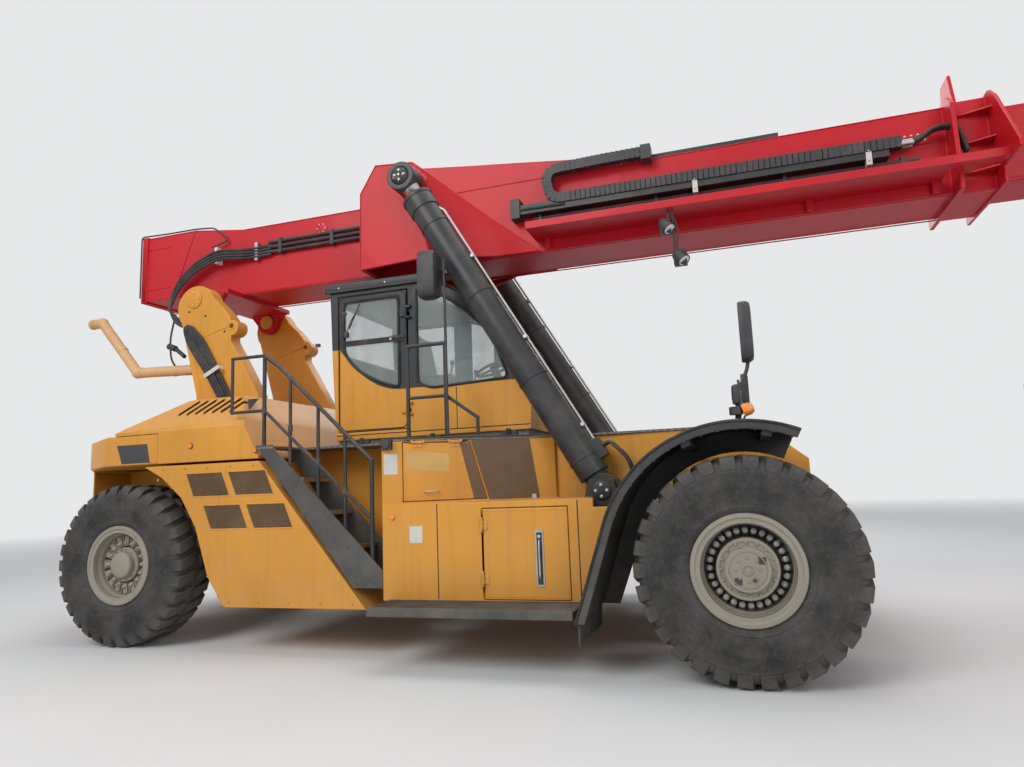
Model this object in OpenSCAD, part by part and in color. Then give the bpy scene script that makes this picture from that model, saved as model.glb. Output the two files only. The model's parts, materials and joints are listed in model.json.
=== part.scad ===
// Reach stacker: a four-wheel container handler with a lifting, telescoping boom and a top spreader.
// Millimetres. +X points forward, +Y to the machine's left, +Z up, tyres on the ground at Z 0.
// Stations along X are measured from the front axle. place() shifts them to the middle of the machine.

/* [Wheels] */
// Distance between the axles
wheelbase = 6000; // [5900:10:6100]
// Outer diameter of a tyre, out to its lugs
tyre_od = 1590; // [1560:10:1610]
// Width of a tyre
tyre_w = 500; // [480:10:510]
// Inner radius of a tyre, where it seats on its rim
rim_seat_r = 345; // [335:1:355]
// Radius of the rim's outer lips
rim_lip_r = 381; // [375:1:395]
// Distance from the middle to a front outer tyre's outer face
front_face_y = 2055; // [2040:5:2080]
// Gap between the two tyres of a front pair
twin_gap = 60; // [50:5:70]
// Distance from the middle to a rear tyre's outer face
rear_face_y = 1615; // [1600:5:1630]
// Radius of the front stub shafts
front_stub_r = 110; // [100:1:120]
// Radius of the rear stub shafts
rear_stub_r = 80; // [70:1:90]
// Radius of the kingpins
kingpin_r = 45; // [40:1:50]
// Distance from the middle to a kingpin
kingpin_y = 1000; // [990:1:1010]

/* [Frame] */
// Front end of the frame, ahead of the front axle
frame_front_x = 560; // [500:10:600]
// Distance from the middle to the outer face of a front rail
rail_y = 760; // [740:5:770]
// Width of a front rail
rail_w = 190; // [160:5:210]
// Underside of the front rails
rail_z0 = 750; // [700:10:800]
// Top of the front rails, where the deck lies
rail_z1 = 1865; // [1850:5:1880]
// Distance from the middle to the outer face of a rear rail
rear_rail_y = 440; // [420:5:450]
// Width of a rear rail
rear_rail_w = 190; // [160:5:200]
// Underside of the rear rails
rear_rail_z0 = 990; // [980:5:1000]
// Length of the frame's bulkhead
bulkhead_l = 200; // [160:10:220]
// Thickness of the deck plates
deck_t = 20; // [14:1:26]
// Half width of the body sides, at the doors and covers
body_y = 1650; // [1640:5:1670]
// Underside of the side boxes and covers
skirt_z = 420; // [400:5:440]

/* [Rear body] */
// Rear end of the counterweight, behind the front axle
tail_x = -7300; // [-7340:5:-7280]
// Seam between counterweight and hood
seam_x = -5530; // [-5560:5:-5500]
// Underside of the counterweight's upper block
ballast_z0 = 1780; // [1770:5:1790]
// Top of the counterweight
ballast_z1 = 2085; // [2070:5:2100]
// Thickness of the counterweight's rear wall
tail_wall = 240; // [200:10:250]
// Top of the hood
hood_z = 2470; // [2450:5:2500]
// Wall of the hood
hood_wall = 20; // [14:1:30]
// Louvre slots on one side of the hood
louvre_count = 7; // [5:1:9]
// Outer diameter of the bent air pipe
air_pipe_d = 118; // [100:2:130]
// Rear end of the air pipe, behind the front axle
air_pipe_x = -7460; // [-7480:5:-7440]

/* [Cab] */
// Half width of the cab
cab_y = 770; // [750:5:780]
// Floor of the cab
cab_z0 = 1960; // [1950:5:1980]
// Wall of the cab
cab_wall = 50; // [40:1:60]
// Top of the cab's roof
roof_z = 3650; // [3630:5:3670]
// Thickness of the roof cap
roof_t = 90; // [70:5:110]
// Thickness of the panes
glass_t = 10; // [6:1:14]
// Rear edge of the door
door_x0 = -3965; // [-3980:5:-3950]
// Front edge of the door
door_x1 = -3165; // [-3180:5:-3150]
// Gap round the door
door_gap = 8; // [6:1:12]

/* [Boom] */
// Boom pivot, behind the front axle
pivot_x = -5850; // [-5870:5:-5830]
// Height of the boom pivot
pivot_z = 3700; // [3690:5:3715]
// Radius of the boom pivot pin
pivot_r = 90; // [80:1:100]
// Rear end of the boom
boom_x0 = -6880; // [-6900:5:-6860]
// Front end of the outer boom
boom_x1 = 2050; // [2030:5:2070]
// Underside of the outer boom
boom_z0 = 3845; // [3840:5:3855]
// Top of the outer boom
boom_z1 = 4650; // [4630:5:4670]
// Half width of the outer boom
boom_y = 340; // [330:5:350]
// Half width of the boom's rear end
boom_rear_y = 540; // [520:5:550]
// Wall of the outer boom
boom_wall = 25; // [20:1:30]
// Gap between the outer and the inner boom
boom_gap = 30; // [25:1:35]
// Front end of the inner boom's tube, drawn out a little
inner_x1 = 4060; // [4010:10:4110]
// Rear end of the inner boom's tube
inner_x0 = -4490; // [-4540:10:-4440]
// Centre of the boom towers' plates from the middle
tower_y = 710; // [700:5:720]
// Thickness of a boom tower
tower_t = 170; // [150:5:180]

/* [Lift cylinders] */
// Distance from the middle to a lift cylinder
lift_y = 950; // [940:5:960]
// Lower pin, behind the front axle
lift_low_x = -1160; // [-1170:5:-1150]
// Height of the lower pin
lift_low_z = 1360; // [1350:5:1370]
// Upper pin, behind the front axle
lift_top_x = -3060; // [-3070:5:-3050]
// Height of the upper pin
lift_top_z = 4600; // [4590:5:4610]
// Outer radius of a lift cylinder's barrel
barrel_r = 145; // [135:1:150]
// Inner radius of the barrel
barrel_bore_r = 120; // [112:1:125]
// Radius of the rod
rod_r = 90; // [80:1:100]
// Radius of the cylinder pins
lift_pin_r = 60; // [50:1:65]
// Width of the cylinder eyes
lift_eye_w = 230; // [200:5:240]

/* [Spreader] */
// Centre of the spreader ahead of the front axle
spreader_x = 4660; // [4640:5:4680]
// Height of the hanging pin
hang_z = 3600; // [3590:5:3610]
// Radius of the hanging pin
hang_pin_r = 60; // [50:1:65]
// Radius of the slewing ring
ring_r = 470; // [450:5:480]
// Underside of the hanger
hanger_z0 = 2750; // [2740:5:2760]
// Thickness of the slewing ring
ring_t = 120; // [110:5:130]
// Height of the side shift carriage
carriage_h = 200; // [190:5:210]
// Height of the spreader's main beams
spreader_h = 380; // [360:5:400]
// Half length of the main frame across the machine
spreader_y = 2350; // [2330:5:2370]
// Distance from the middle to an end beam, set for a 20 foot container
end_beam_y = 2927; // [2917:5:2937]
// Half length of an end beam along the machine
end_beam_x = 1130; // [1120:5:1140]
// Width of an end beam
end_beam_w = 220; // [200:5:240]
// Height of the twistlock housings
lock_h = 170; // [150:5:190]

/* [Hidden] */
fit = 0.3;
run = 0.05;
elbow = 1.12;
axle_z = tyre_od / 2;
front_out_y = front_face_y - tyre_w / 2;
front_in_y = front_out_y - tyre_w - twin_gap;
front_in_face_y = front_in_y - tyre_w / 2;
rear_y = rear_face_y - tyre_w / 2;
rear_in_face_y = rear_y - tyre_w / 2;
rear_x = -wheelbase;
bulkhead_x0 = rear_x + 900;
bulkhead_x1 = bulkhead_x0 + bulkhead_l;
rear_rail_z1 = ballast_z0 - fit;
deck_z = rail_z1 + fit + deck_t;
boom_nose_x = spreader_x + end_beam_x + end_beam_w / 2;
front_axle_x = -(air_pipe_x + boom_nose_x) / 2;
lift_dx = lift_top_x - lift_low_x;
lift_dz = lift_top_z - lift_low_z;
lift_len = norm([lift_dx, lift_dz]);
lift_lean = atan2(lift_dx, lift_dz);
inner_y = boom_y - boom_wall - boom_gap;
inner_z0 = boom_z0 + boom_wall + boom_gap;
inner_z1 = boom_z1 - boom_wall - boom_gap;
ring_z0 = hanger_z0 - fit - ring_t;
carriage_z0 = ring_z0 - carriage_h;
spreader_z1 = carriage_z0 - fit;
spreader_z0 = spreader_z1 - spreader_h;

yellow = [0.87, 0.62, 0.22];
boom_red = [0.72, 0.07, 0.12];
black = [0.09, 0.1, 0.1];
dark = [0.2, 0.22, 0.22];
grey = [0.42, 0.43, 0.42];
rubber = [0.13, 0.13, 0.13];
cream = [0.68, 0.66, 0.58];
clear = [0.6, 0.75, 0.78, 0.5];

// Moves stations measured from the front axle to the middle of the machine.
module place() {
    translate([front_axle_x, 0, 0]) children();
}

// A child made on the left side, and its mirror image on the right.
module both() {
    children();
    mirror([0, 1, 0]) children();
}

// A child made on the left side, mirrored when side is -1.
module on_side(side) {
    if (side > 0) children();
    else mirror([0, 1, 0]) children();
}

// A block between two corners.
module block(a, b) {
    translate(a) cube([b[0] - a[0], b[1] - a[1], b[2] - a[2]]);
}

// An outline of [x, z] points made thick between two distances along Y.
module side_plate(outline, y0, y1) {
    translate([0, y1, 0]) rotate([90, 0, 0]) linear_extrude(y1 - y0) polygon(outline);
}

// An outline of [y, z] points made thick between two distances along X.
module cross_plate(outline, x0, x1) {
    translate([x0, 0, 0]) rotate([90, 0, 90]) linear_extrude(x1 - x0) polygon(outline);
}

// An outline of [x, y] points made thick between two heights.
module flat_plate(outline, z0, z1) {
    translate([0, 0, z0]) linear_extrude(z1 - z0) polygon(outline);
}

// A round bar along Y between two distances.
module y_bar(x, z, r, y0, y1, sides = 64) {
    translate([x, y1, z]) rotate([90, 0, 0]) cylinder(r = r, h = y1 - y0, $fn = sides);
}

// A round bar between two points.
module bar(p, q, d, sides = 16) {
    v = q - p;
    translate(p)
        rotate([0, acos(v[2] / norm(v)), atan2(v[1], v[0])])
            cylinder(d = d, h = norm(v), $fn = sides);
}

// A bent round bar through a list of points, with welded elbows as slightly larger balls.
module bent_bar(points, d, sides = 16) {
    for (i = [1:len(points) - 1]) bar(points[i - 1], points[i], d, sides);
    if (len(points) > 2)
        for (i = [1:len(points) - 2]) translate(points[i]) sphere(d = d * elbow, $fn = 2 * sides);
}

// A ring turned about a wheel's axis from a profile of [radius, y] points.
module wheel_turn(profile, y) {
    translate([0, y, 0]) rotate([-90, 0, 0]) rotate_extrude($fn = 96) polygon(profile);
}

function mirrored(p) = concat(p, [for (i = [len(p) - 1:-1:0]) [p[i][0], -p[i][1]]]);

/* Tyres and rims, each made round its own axis */

half_w = tyre_w / 2;
bead_w = half_w - 48;

tyre_profile = mirrored([
    [rim_seat_r, -bead_w],
    [rim_lip_r + 8, -bead_w],
    [rim_lip_r + 60, -half_w + 12],
    [rim_lip_r + 190, -half_w],
    [axle_z - 70, -half_w + 10],
    [axle_z - 12, -half_w + 34],
    [axle_z, -half_w + 62]
]);

module tyre(y) {
    wheel_turn(tyre_profile, y);
}

lip_w = 16;
rim_wall = 26;

// Barrel of a rim under one tyre, with its two lips.
rim_profile = [
    [rim_seat_r - fit, -bead_w - fit],
    [rim_lip_r, -bead_w - fit],
    [rim_lip_r, -bead_w - fit - lip_w],
    [rim_seat_r - rim_wall, -bead_w - fit - lip_w],
    [rim_seat_r - rim_wall, bead_w + fit + lip_w],
    [rim_lip_r, bead_w + fit + lip_w],
    [rim_lip_r, bead_w + fit],
    [rim_seat_r - fit, bead_w + fit]
];

module ring_y(r0, r1, y0, y1) {
    wheel_turn([[r0, y0], [r1, y0], [r1, y1], [r0, y1]], 0);
}

front_disc_y = front_out_y - 40;
front_hub_r = 215;
front_hub_y0 = front_in_face_y + 60;
front_hub_y1 = front_out_y + 150;

module front_rims() {
    in_rim = rim_seat_r - rim_wall;
    difference() {
        union() {
            wheel_turn(rim_profile, front_out_y);
            wheel_turn(rim_profile, front_in_y);
            ring_y(in_rim, rim_seat_r - fit, front_in_y, front_out_y);
            ring_y(front_hub_r - 5, in_rim + 5, front_disc_y, front_disc_y + 40);
            ring_y(0, front_hub_r, front_hub_y0, front_hub_y1);
            ring_y(0, front_hub_r - 60, front_hub_y1 - 5, front_hub_y1 + 45);
        }
        ring_y(0, front_stub_r + run, front_hub_y0 - 10, front_hub_y1 - 120);
    }
}

rear_disc_y = rear_y + 20;
rear_hub_r = 170;
rear_hub_y0 = rear_in_face_y + 70;
rear_hub_y1 = rear_y + 130;

module rear_rim() {
    in_rim = rim_seat_r - rim_wall;
    difference() {
        union() {
            wheel_turn(rim_profile, rear_y);
            ring_y(rear_hub_r - 5, in_rim + 5, rear_disc_y, rear_disc_y + 36);
            ring_y(0, rear_hub_r, rear_hub_y0, rear_hub_y1);
            ring_y(0, rear_hub_r - 40, rear_hub_y1 - 5, rear_hub_y1 + 45);
        }
        ring_y(0, rear_stub_r + run, rear_hub_y0 - 10, rear_hub_y1 - 90);
    }
}

module front_station(side) {
    place() translate([0, 0, axle_z]) on_side(side) children();
}

module rear_station(side) {
    place() translate([rear_x, 0, axle_z]) on_side(side) children();
}

module front_tyre_pair(side) {
    color(rubber) front_station(side) {
        tyre(front_out_y);
        tyre(front_in_y);
    }
}

module front_rim_pair(side) {
    color(cream) front_station(side) front_rims();
}

module rear_tyre(side) {
    color(rubber) rear_station(side) tyre(rear_y);
}

module rear_rim_part(side) {
    color(cream) rear_station(side) rear_rim();
}

/* Axles */

front_stub_end = front_hub_y1 - 130;

module front_axle() {
    color(dark) place() translate([0, 0, axle_z]) {
        both() {
            block([-180, 0, -150], [180, rail_y + 60, 205 - fit]);
            y_bar(0, 0, 150, 0, front_hub_y0 - 30);
            y_bar(0, 0, front_stub_r, 0, front_stub_end);
        }
        rotate([0, 90, 0]) translate([0, 0, -330]) cylinder(r = 270, h = 520, $fn = 64);
    }
}

fork_in_y = kingpin_y - 150;
fork_out_y = kingpin_y + 75;
fork_z = 175;
fork_t = 50;
trunnion_r = 70;
trunnion_l = 240;

module rear_axle() {
    color(dark) place() translate([rear_x, 0, axle_z]) {
        difference() {
            both() {
                block([-130, 0, -120], [130, fork_in_y, 120]);
                block([-110, fork_in_y - 60, fork_z], [110, fork_out_y, fork_z + fork_t]);
                block([-110, fork_in_y - 60, -fork_z - fork_t], [110, fork_out_y, -fork_z]);
                block([-110, fork_in_y - 60, -fork_z - 5], [110, fork_in_y, fork_z + 5]);
            }
            both() translate([0, kingpin_y, -fork_z - fork_t - 10])
                cylinder(r = kingpin_r + run, h = 2 * (fork_z + fork_t + 10), $fn = 64);
        }
        rotate([0, 90, 0]) translate([0, 0, -trunnion_l]) cylinder(r = trunnion_r,
            h = 2 * trunnion_l, $fn = 64);
    }
}

stub_end_y = rear_hub_y1 - 100;

module knuckle(side) {
    color(dark) rear_station(side) {
        block([-90, kingpin_y - 90, -fork_z + 2], [90, kingpin_y + 95, fork_z - 2]);
        translate([0, kingpin_y, -fork_z - fork_t - 8])
            cylinder(r = kingpin_r, h = 2 * (fork_z + fork_t + 8), $fn = 64);
        y_bar(0, 0, rear_stub_r, kingpin_y, stub_end_y);
    }
}

/* Frame */

pad_x = 450;
axle_seat_z = axle_z + 205;

tower_foot_l = 950;
tower_foot_x0 = pivot_x + 100;
tower_foot_x1 = pivot_x + tower_foot_l;
tower_foot_z0 = tyre_od + 50;
tower_toe_x = tower_foot_x1 - 60;

front_rail = [
    [bulkhead_x0, rail_z0 + 250],
    [bulkhead_x0, rear_rail_z1],
    [tower_toe_x + fit, rear_rail_z1],
    [tower_toe_x + fit, rail_z1],
    [200, rail_z1],
    [frame_front_x, rail_z1 - 300],
    [frame_front_x, axle_seat_z],
    [-pad_x, axle_seat_z],
    [-pad_x - 220, rail_z0],
    [bulkhead_x1 + 300, rail_z0]
];

lift_ear_y0 = lift_y + lift_eye_w / 2 + 4;
lift_ear_y1 = lift_ear_y0 + 40;

module main_frame() {
    color(yellow) place() {
        both() side_plate(front_rail, rail_y - rail_w, rail_y);
        both() block([tail_x + tail_wall + fit, rear_rail_y - rear_rail_w, rear_rail_z0],
            [bulkhead_x1, rear_rail_y, rear_rail_z1]);
        both() block([tower_foot_x0, 0, tower_foot_z0], [tower_foot_x1, tower_out_y, rear_rail_z1]);
        block([bulkhead_x0, -rail_y, rear_rail_z0], [bulkhead_x1, rail_y, rear_rail_z1]);
        block([-3000, -rail_y, rail_z0 + 200], [-2850, rail_y, rail_z1 - 300]);
        block([frame_front_x - 120, -rail_y, axle_seat_z + 40], [frame_front_x, rail_y, rail_z1 - 340]);
        // Hangers that carry the rear axle on its trunnions
        difference() {
            for (x = [rear_x - trunnion_l + 10, rear_x + trunnion_l - 90])
                block([x, -rear_rail_y, axle_z - 120], [x + 80, rear_rail_y, rear_rail_z0 + 60]);
            translate([rear_x - 400, 0, axle_z]) rotate([0, 90, 0])
                cylinder(r = trunnion_r + run, h = 800, $fn = 64);
        }
        // Brackets and pins at the feet of the lift cylinders
        both() {
            y_bar(lift_low_x, lift_low_z, lift_pin_r, rail_y - 20, lift_ear_y1);
            side_plate([
                [lift_low_x - 240, lift_low_z - 330],
                [lift_low_x + 200, lift_low_z - 330],
                [lift_low_x + 110, lift_low_z + 100],
                [lift_low_x - 110, lift_low_z + 100]
            ], lift_ear_y0, lift_ear_y1);
            block([lift_low_x - 240, rail_y - 20, lift_low_z - 330],
                [lift_low_x + 200, lift_ear_y1, lift_low_z - 260]);
        }
    }
}

/* Boom towers */

tower_head = [pivot_x + 22, pivot_z - 98];
tower_head_r = 258;
tower_ear = [pivot_x + 521, pivot_z - 384];
tower_ear_r = 90;
tower_outline = [
    [tower_toe_x, ballast_z0 + fit],
    [tower_toe_x, pivot_z - 1170],
    [pivot_x + 712, pivot_z - 858],
    [pivot_x + 597, pivot_z - 664],
    [pivot_x + 515, pivot_z - 533],
    [pivot_x + 505, pivot_z - 270],
    [pivot_x + 405, pivot_z - 144],
    [pivot_x + 240, pivot_z + 10],
    [pivot_x + 20, pivot_z + 100],
    [pivot_x - 215, pivot_z - 130],
    [pivot_x - 110, pivot_z - 520],
    [pivot_x + 50, 2590],
    [pivot_x + 110, ballast_z0 + fit]
];

module boom_towers() {
    color(yellow) place() {
        both() {
            difference() {
                union() {
                    side_plate(tower_outline, tower_in_y, tower_out_y);
                    y_bar(tower_head[0], tower_head[1], tower_head_r, tower_in_y, tower_out_y);
                    y_bar(tower_ear[0], tower_ear[1], tower_ear_r, tower_in_y, tower_out_y);
                }
                y_bar(tower_ear[0], tower_ear[1] + 20, 28, tower_in_y - 10, tower_out_y + 10);
            }
            y_bar(pivot_x, pivot_z, pivot_r, lug_y0 - 25, tower_out_y + 12);
        }
        block([pivot_x + 360, -tower_in_y - 5, ballast_z1 - 95], [pivot_x + 460, tower_in_y + 5,
            hood_z - 140]);
    }
}

/* Rear body */

hood_y = 1600;

// Plan of the counterweight's right half, from the seam to the tail: [x, half width]
ballast_plan = [
    [seam_x, hood_y],
    [-6200, hood_y],
    [-6880, 1165],
    [tail_x, 760]
];
tail_plan = [
    [tail_x + tail_wall, 960],
    [tail_x, 740]
];

tower_slot = 12;
tower_in_y = tower_y - tower_t / 2;
tower_out_y = tower_y + tower_t / 2;

// Slots that let the towers through the counterweight and the hood
module tower_holes(z0, z1) {
    both() block([pivot_x + 20, tower_in_y - tower_slot, z0], [tower_foot_x1 - 40,
        tower_out_y + tower_slot, z1]);
}

module counterweight() {
    color(yellow) place() difference() {
        union() {
            flat_plate(mirrored(ballast_plan), ballast_z0, ballast_z1);
            flat_plate(mirrored(tail_plan), skirt_z + 280, ballast_z0 + 5);
            block([tail_x + tail_wall - 5, -rear_rail_y + rear_rail_w + fit, rear_rail_z0],
                [rear_x - 400, rear_rail_y - rear_rail_w - fit, ballast_z0 + 5]);
        }
        tower_holes(ballast_z0 - 10, ballast_z1 + 10);
        block([tower_foot_x0 - 20, -tower_in_y, ballast_z0 - 10], [seam_x + 10, tower_in_y, ballast_z1 + 10]);
    }
}

module engine_block() {
    color(dark) place() block([bulkhead_x1 + fit, -430, rail_z0 + 200], [bulkhead_x1 + 1150, 430,
        ballast_z0 - 20]);
}

hood_x0 = pivot_x - 230;
hood_x1 = pivot_x + 1520;
louvre_pitch = 105;

// Outline of the hood across the machine: [half width, z], then along it: [x, z]
function hood_section(w) = [
    [hood_y - w, ballast_z0 - 2 * w],
    [hood_y - w, hood_z - 360 - w * 0.4],
    [hood_y - 40 - w, hood_z - 305 - w * 0.7],
    [hood_y - 365 - w * 0.4, hood_z - 25 - w],
    [hood_y - 450, hood_z - w],
    [0, hood_z - w]
];
function hood_profile(w) = [
    [hood_x0 + 2 * w, ballast_z1 + fit - w * 0.1],
    [seam_x + fit + w, ballast_z1 + fit - w * 0.1],
    [seam_x + fit + w, ballast_z0 - 2 * w],
    [hood_x1 - w, ballast_z0 - 2 * w],
    [hood_x1 - w, ballast_z0 + 20],
    [hood_x1 - 210 - w, hood_z - 280],
    [hood_x1 - 500 - w * 0.6, hood_z - w],
    [seam_x + 80, hood_z - w],
    [hood_x0 + 2 * w, ballast_z1 + 30 - w * 0.6]
];

function flipped(p) = concat(p, [for (i = [len(p) - 1:-1:0]) [-p[i][0], p[i][1]]]);

module hood_form(w) {
    intersection() {
        cross_plate(flipped(hood_section(w)), hood_x0 - 100, hood_x1 + 100);
        side_plate(hood_profile(w), -hood_y - 100, hood_y + 100);
    }
}

module hood() {
    color(yellow) place() difference() {
        hood_form(0);
        hood_form(hood_wall);
        tower_holes(ballast_z0 - 50, hood_z + 10);
        block([seam_x + fit + hood_wall, -hood_y + hood_wall, ballast_z0 - 60],
            [hood_x1 - hood_wall, hood_y - hood_wall, ballast_z0 + 3]);
        // The front wall stands over the rails
        both() block([hood_x1 - hood_wall - 50, rail_y - rail_w - 10, ballast_z0 - 10],
            [hood_x1 + 10, rail_y + 10, rail_z1 + fit]);
        both() for (i = [0:louvre_count - 1])
            translate([seam_x + 145 + i * louvre_pitch, hood_y - 235, hood_z - 116])
                rotate([0, 36, 0]) cube([44, 270, 206], center = true);
    }
}

// Side covers with four grille openings: outline [x, z] of the outer face
cover_outline = [
    [-4660, skirt_z],
    [-3170, skirt_z],
    [-4290, 1755],
    [-5640, 1755],
    [-5420, 1640],
    [-5180, 1440],
    [-5000, 1150],
    [-4850, 700]
];
// Grille openings: lower left corner [x, z], width and height, and lean of the sides
grilles = [
    [-5130, 1440, 430, 230],
    [-4640, 1440, 430, 230],
    [-4920, 1130, 430, 230],
    [-4430, 1130, 430, 230]
];
cover_wall = 30;

module grille_shape(g, grow) {
    lean = g[3] * 0.42;
    polygon([
        [g[0] - grow, g[1] + g[3] + grow],
        [g[0] + g[2] + grow * 0.4, g[1] + g[3] + grow],
        [g[0] + g[2] + lean + grow, g[1] - grow],
        [g[0] + lean - grow * 0.4, g[1] - grow]
    ]);
}

module cover_grilles(grow, y0, y1) {
    translate([0, y1, 0]) rotate([90, 0, 0]) linear_extrude(y1 - y0)
        for (g = grilles) grille_shape(g, grow);
}

module side_covers() {
    color(yellow) place() both() difference() {
        side_plate(cover_outline, rail_y + fit, body_y);
        difference() {
            side_plate(cover_outline, rail_y + 100, body_y - cover_wall);
            side_plate([[-4600, skirt_z - 10], [-4600, skirt_z + cover_wall], [-3100, skirt_z + cover_wall],
                [-3100, skirt_z - 10]], 0, body_y + 1);
            block([-6000, 0, 1755 - cover_wall], [-3000, body_y + 1, 1800]);
            side_plate([[-3230, skirt_z], [-3100, skirt_z], [-4220, 1800], [-4360, 1800]], 0, body_y + 1);
            side_plate([[-5700, 1800], [-4700, 400], [-4800, 400], [-5700, 1700]], 0, body_y + 1);
        }
        cover_grilles(0, body_y - cover_wall - 10, body_y + 10);
        block([tower_foot_x0 - 100, 0, tower_foot_z0 - fit], [tower_foot_x1 + fit,
            tower_out_y + fit, ballast_z0]);
    }
}

module side_grilles() {
    color(dark) place() both() cover_grilles(-fit, body_y - cover_wall + 6, body_y - 10);
}

/* Side boxes with a lid above and a door below */

box_x0 = -3000;
box_x1 = -1235;
box_z1 = 1310;
lid_t = 40;
box_door_x0 = -2070;
box_door_x1 = -1345;
box_door_z0 = 520;
box_door_z1 = 1250;
slant_x1 = -1640;
slant_y = rail_y + 40;

// Outline [x, z] of the outer face's front end, behind the fender
box_nose = [
    [box_x1 - 5, skirt_z + 80],
    [-1208, skirt_z + 80],
    [-1003, 1147],
    [-968, box_z1 - 70],
    [-1131, box_z1 - 70],
    [-1131, box_z1],
    [box_x1 - 5, box_z1]
];

slant_dir = [slant_x1 - box_x0, slant_y - body_y];
slant_turn = atan2(slant_dir[1], slant_dir[0]);

// Puts a child that lies along +X from the slanted face's rear edge onto that face.
module on_slant() {
    translate([box_x0, body_y, 0]) rotate([0, 0, slant_turn]) children();
}

lid_z0 = box_z1 + 20;
lid_z1 = rail_z1 - 20;
lid_x0 = 190;
lid_x1 = 940;
lid_lean = 150;
lid_hinges = [lid_x0 + 130, lid_x1 - lid_lean - 130];
door_hinges = [box_door_z0 + 160, box_door_z1 - 130];

strap_out = 16;
strap_edge = 3;
strap_pin_r = 8;
strap_half = 40;
strap_lug = 18;
strap_end = strap_half + 4 + strap_lug;

// Pin and lugs of a strap hinge. X runs along the pin, +Y out of the face, +Z towards the moving panel's edge at 0.
module strap_fixed() {
    translate([-strap_end, strap_out, -strap_edge]) rotate([0, 90, 0])
        cylinder(r = strap_pin_r, h = 2 * strap_end, $fn = 32);
    for (u = [-strap_end, strap_end - strap_lug]) {
        block([u, -5, -19], [u + strap_lug, strap_out + strap_pin_r, -7]);
        block([u, strap_out - strap_pin_r, -19], [u + strap_lug, strap_out + strap_pin_r,
            strap_pin_r - strap_edge]);
    }
}

// Knuckle and leaf on the moving panel
module strap_moving() {
    difference() {
        union() {
            translate([-strap_half, strap_out, -strap_edge]) rotate([0, 90, 0])
                cylinder(r = strap_pin_r + 5, h = 2 * strap_half, $fn = 32);
            block([-strap_half, 1, -strap_edge], [strap_half, 7, 10]);
            block([-strap_half, -2, 1], [strap_half, 7, 45]);
        }
        translate([-strap_half - 5, strap_out, -strap_edge]) rotate([0, 90, 0])
            cylinder(r = strap_pin_r + run, h = 2 * strap_half + 10, $fn = 32);
    }
}

// Places a strap hinge's half along the top of the lid, or on the door's rear edge
module lid_strap() {
    for (u = lid_hinges) on_slant() translate([u, 0, lid_z1]) mirror([0, 0, 1]) children();
}

module door_strap() {
    for (z = door_hinges)
        translate([box_door_x0, body_y, z]) mirror([1, 0, 0]) rotate([0, -90, 0]) children();
}

// Outline of the lid on the slanted face, grown all round
function lid_outline(grow) = [
    [lid_x0 - grow, lid_z0 - grow],
    [lid_x1 + grow, lid_z0 - grow],
    [lid_x1 - lid_lean + grow, lid_z1 + grow],
    [lid_x0 - grow, lid_z1 + grow]
];

module side_boxes() {
    color(yellow) place() both() {
        box_body();
        lid_strap() strap_fixed();
        door_strap() strap_fixed();
    }
}

module box_body() {
    difference() {
        union() {
            block([box_x0, rail_y + fit, skirt_z + 80], [box_x1, body_y - lid_t, box_z1]);
            block([box_x0, body_y - lid_t - 5, skirt_z + 80], [box_door_x0 - 6, body_y, box_z1]);
            block([box_door_x1 + 6, body_y - lid_t - 5, skirt_z + 80], [box_x1, body_y, box_z1]);
            block([box_x0, body_y - lid_t - 5, box_door_z1 + 6], [box_x1, body_y, box_z1]);
            block([box_x0, body_y - lid_t - 5, skirt_z + 80], [box_x1, body_y, box_door_z0 - 6]);
            side_plate(box_nose, body_y - lid_t, body_y);
            flat_plate([[box_x0, body_y], [slant_x1, slant_y], [slant_x1, rail_y + fit], [box_x0,
                rail_y + fit]],
                box_z1 - 5, rail_z1);
        }
        block([box_door_x0 + 60, body_y - 500, box_door_z0 + 60], [box_door_x1 - 60, body_y + 5,
            box_door_z1 - 60]);
        on_slant() side_plate(lid_outline(6), -lid_t - fit, 20);
        intersection() {
            on_slant() side_plate(lid_outline(-60), -500, 20);
            block([box_x0 + 60, rail_y + 60, lid_z0], [box_x1, body_y, lid_z1]);
        }
        // Room for the foot of the lift cylinder
        block([lift_low_x - 420, rail_y - 10, lift_low_z - 345], [box_x1 + 10, lift_ear_y1 + 15,
            box_z1 + 10]);
    }
}

module box_lid(side) {
    color(yellow) place() on_side(side) {
        on_slant() side_plate(lid_outline(0), -lid_t, 0);
        lid_strap() strap_moving();
    }
}

module box_door(side) {
    color(yellow) place() on_side(side) {
        block([box_door_x0, body_y - lid_t + fit, box_door_z0], [box_door_x1, body_y, box_door_z1]);
        door_strap() strap_moving();
    }
}

/* Decks, stairs, rails */

stair_y0 = 1190;
stair_plate = 22;
landing_x0 = -4325;
landing_x1 = -4130;
// Treads from the lowest up: front edge [x] and top [z]
tread_rise = 305;
tread_go = 260;
tread_l = 270;
tread_t = 30;
treads = [for (i = [0:3]) [-3030 - i * tread_go, 660 + i * tread_rise]];
stringer = [
    [-3290, 600],
    [box_x0 - fit, 600],
    [box_x0 - fit, 740],
    [landing_x1, rail_z1],
    [-4290, rail_z1]
];

module walk_decks() {
    color(dark) place() {
        both() flat_plate([
            [landing_x0, 0],
            [landing_x0, body_y],
            [landing_x1, body_y],
            [landing_x1, stair_y0 - 20],
            [box_x0, stair_y0 - 20],
            [box_x0, body_y],
            [slant_x1, slant_y],
            [200, rail_y],
            [200, 0]
        ], rail_z1 + fit, deck_z);
        // Base that the cab stands on
        block([-3980, -cab_y + 30, deck_z - 5], [-1900, cab_y - 30, cab_z0 - fit]);
    }
}

board_z0 = 440;
board_z1 = 500;
board_y1 = 2050;

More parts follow.
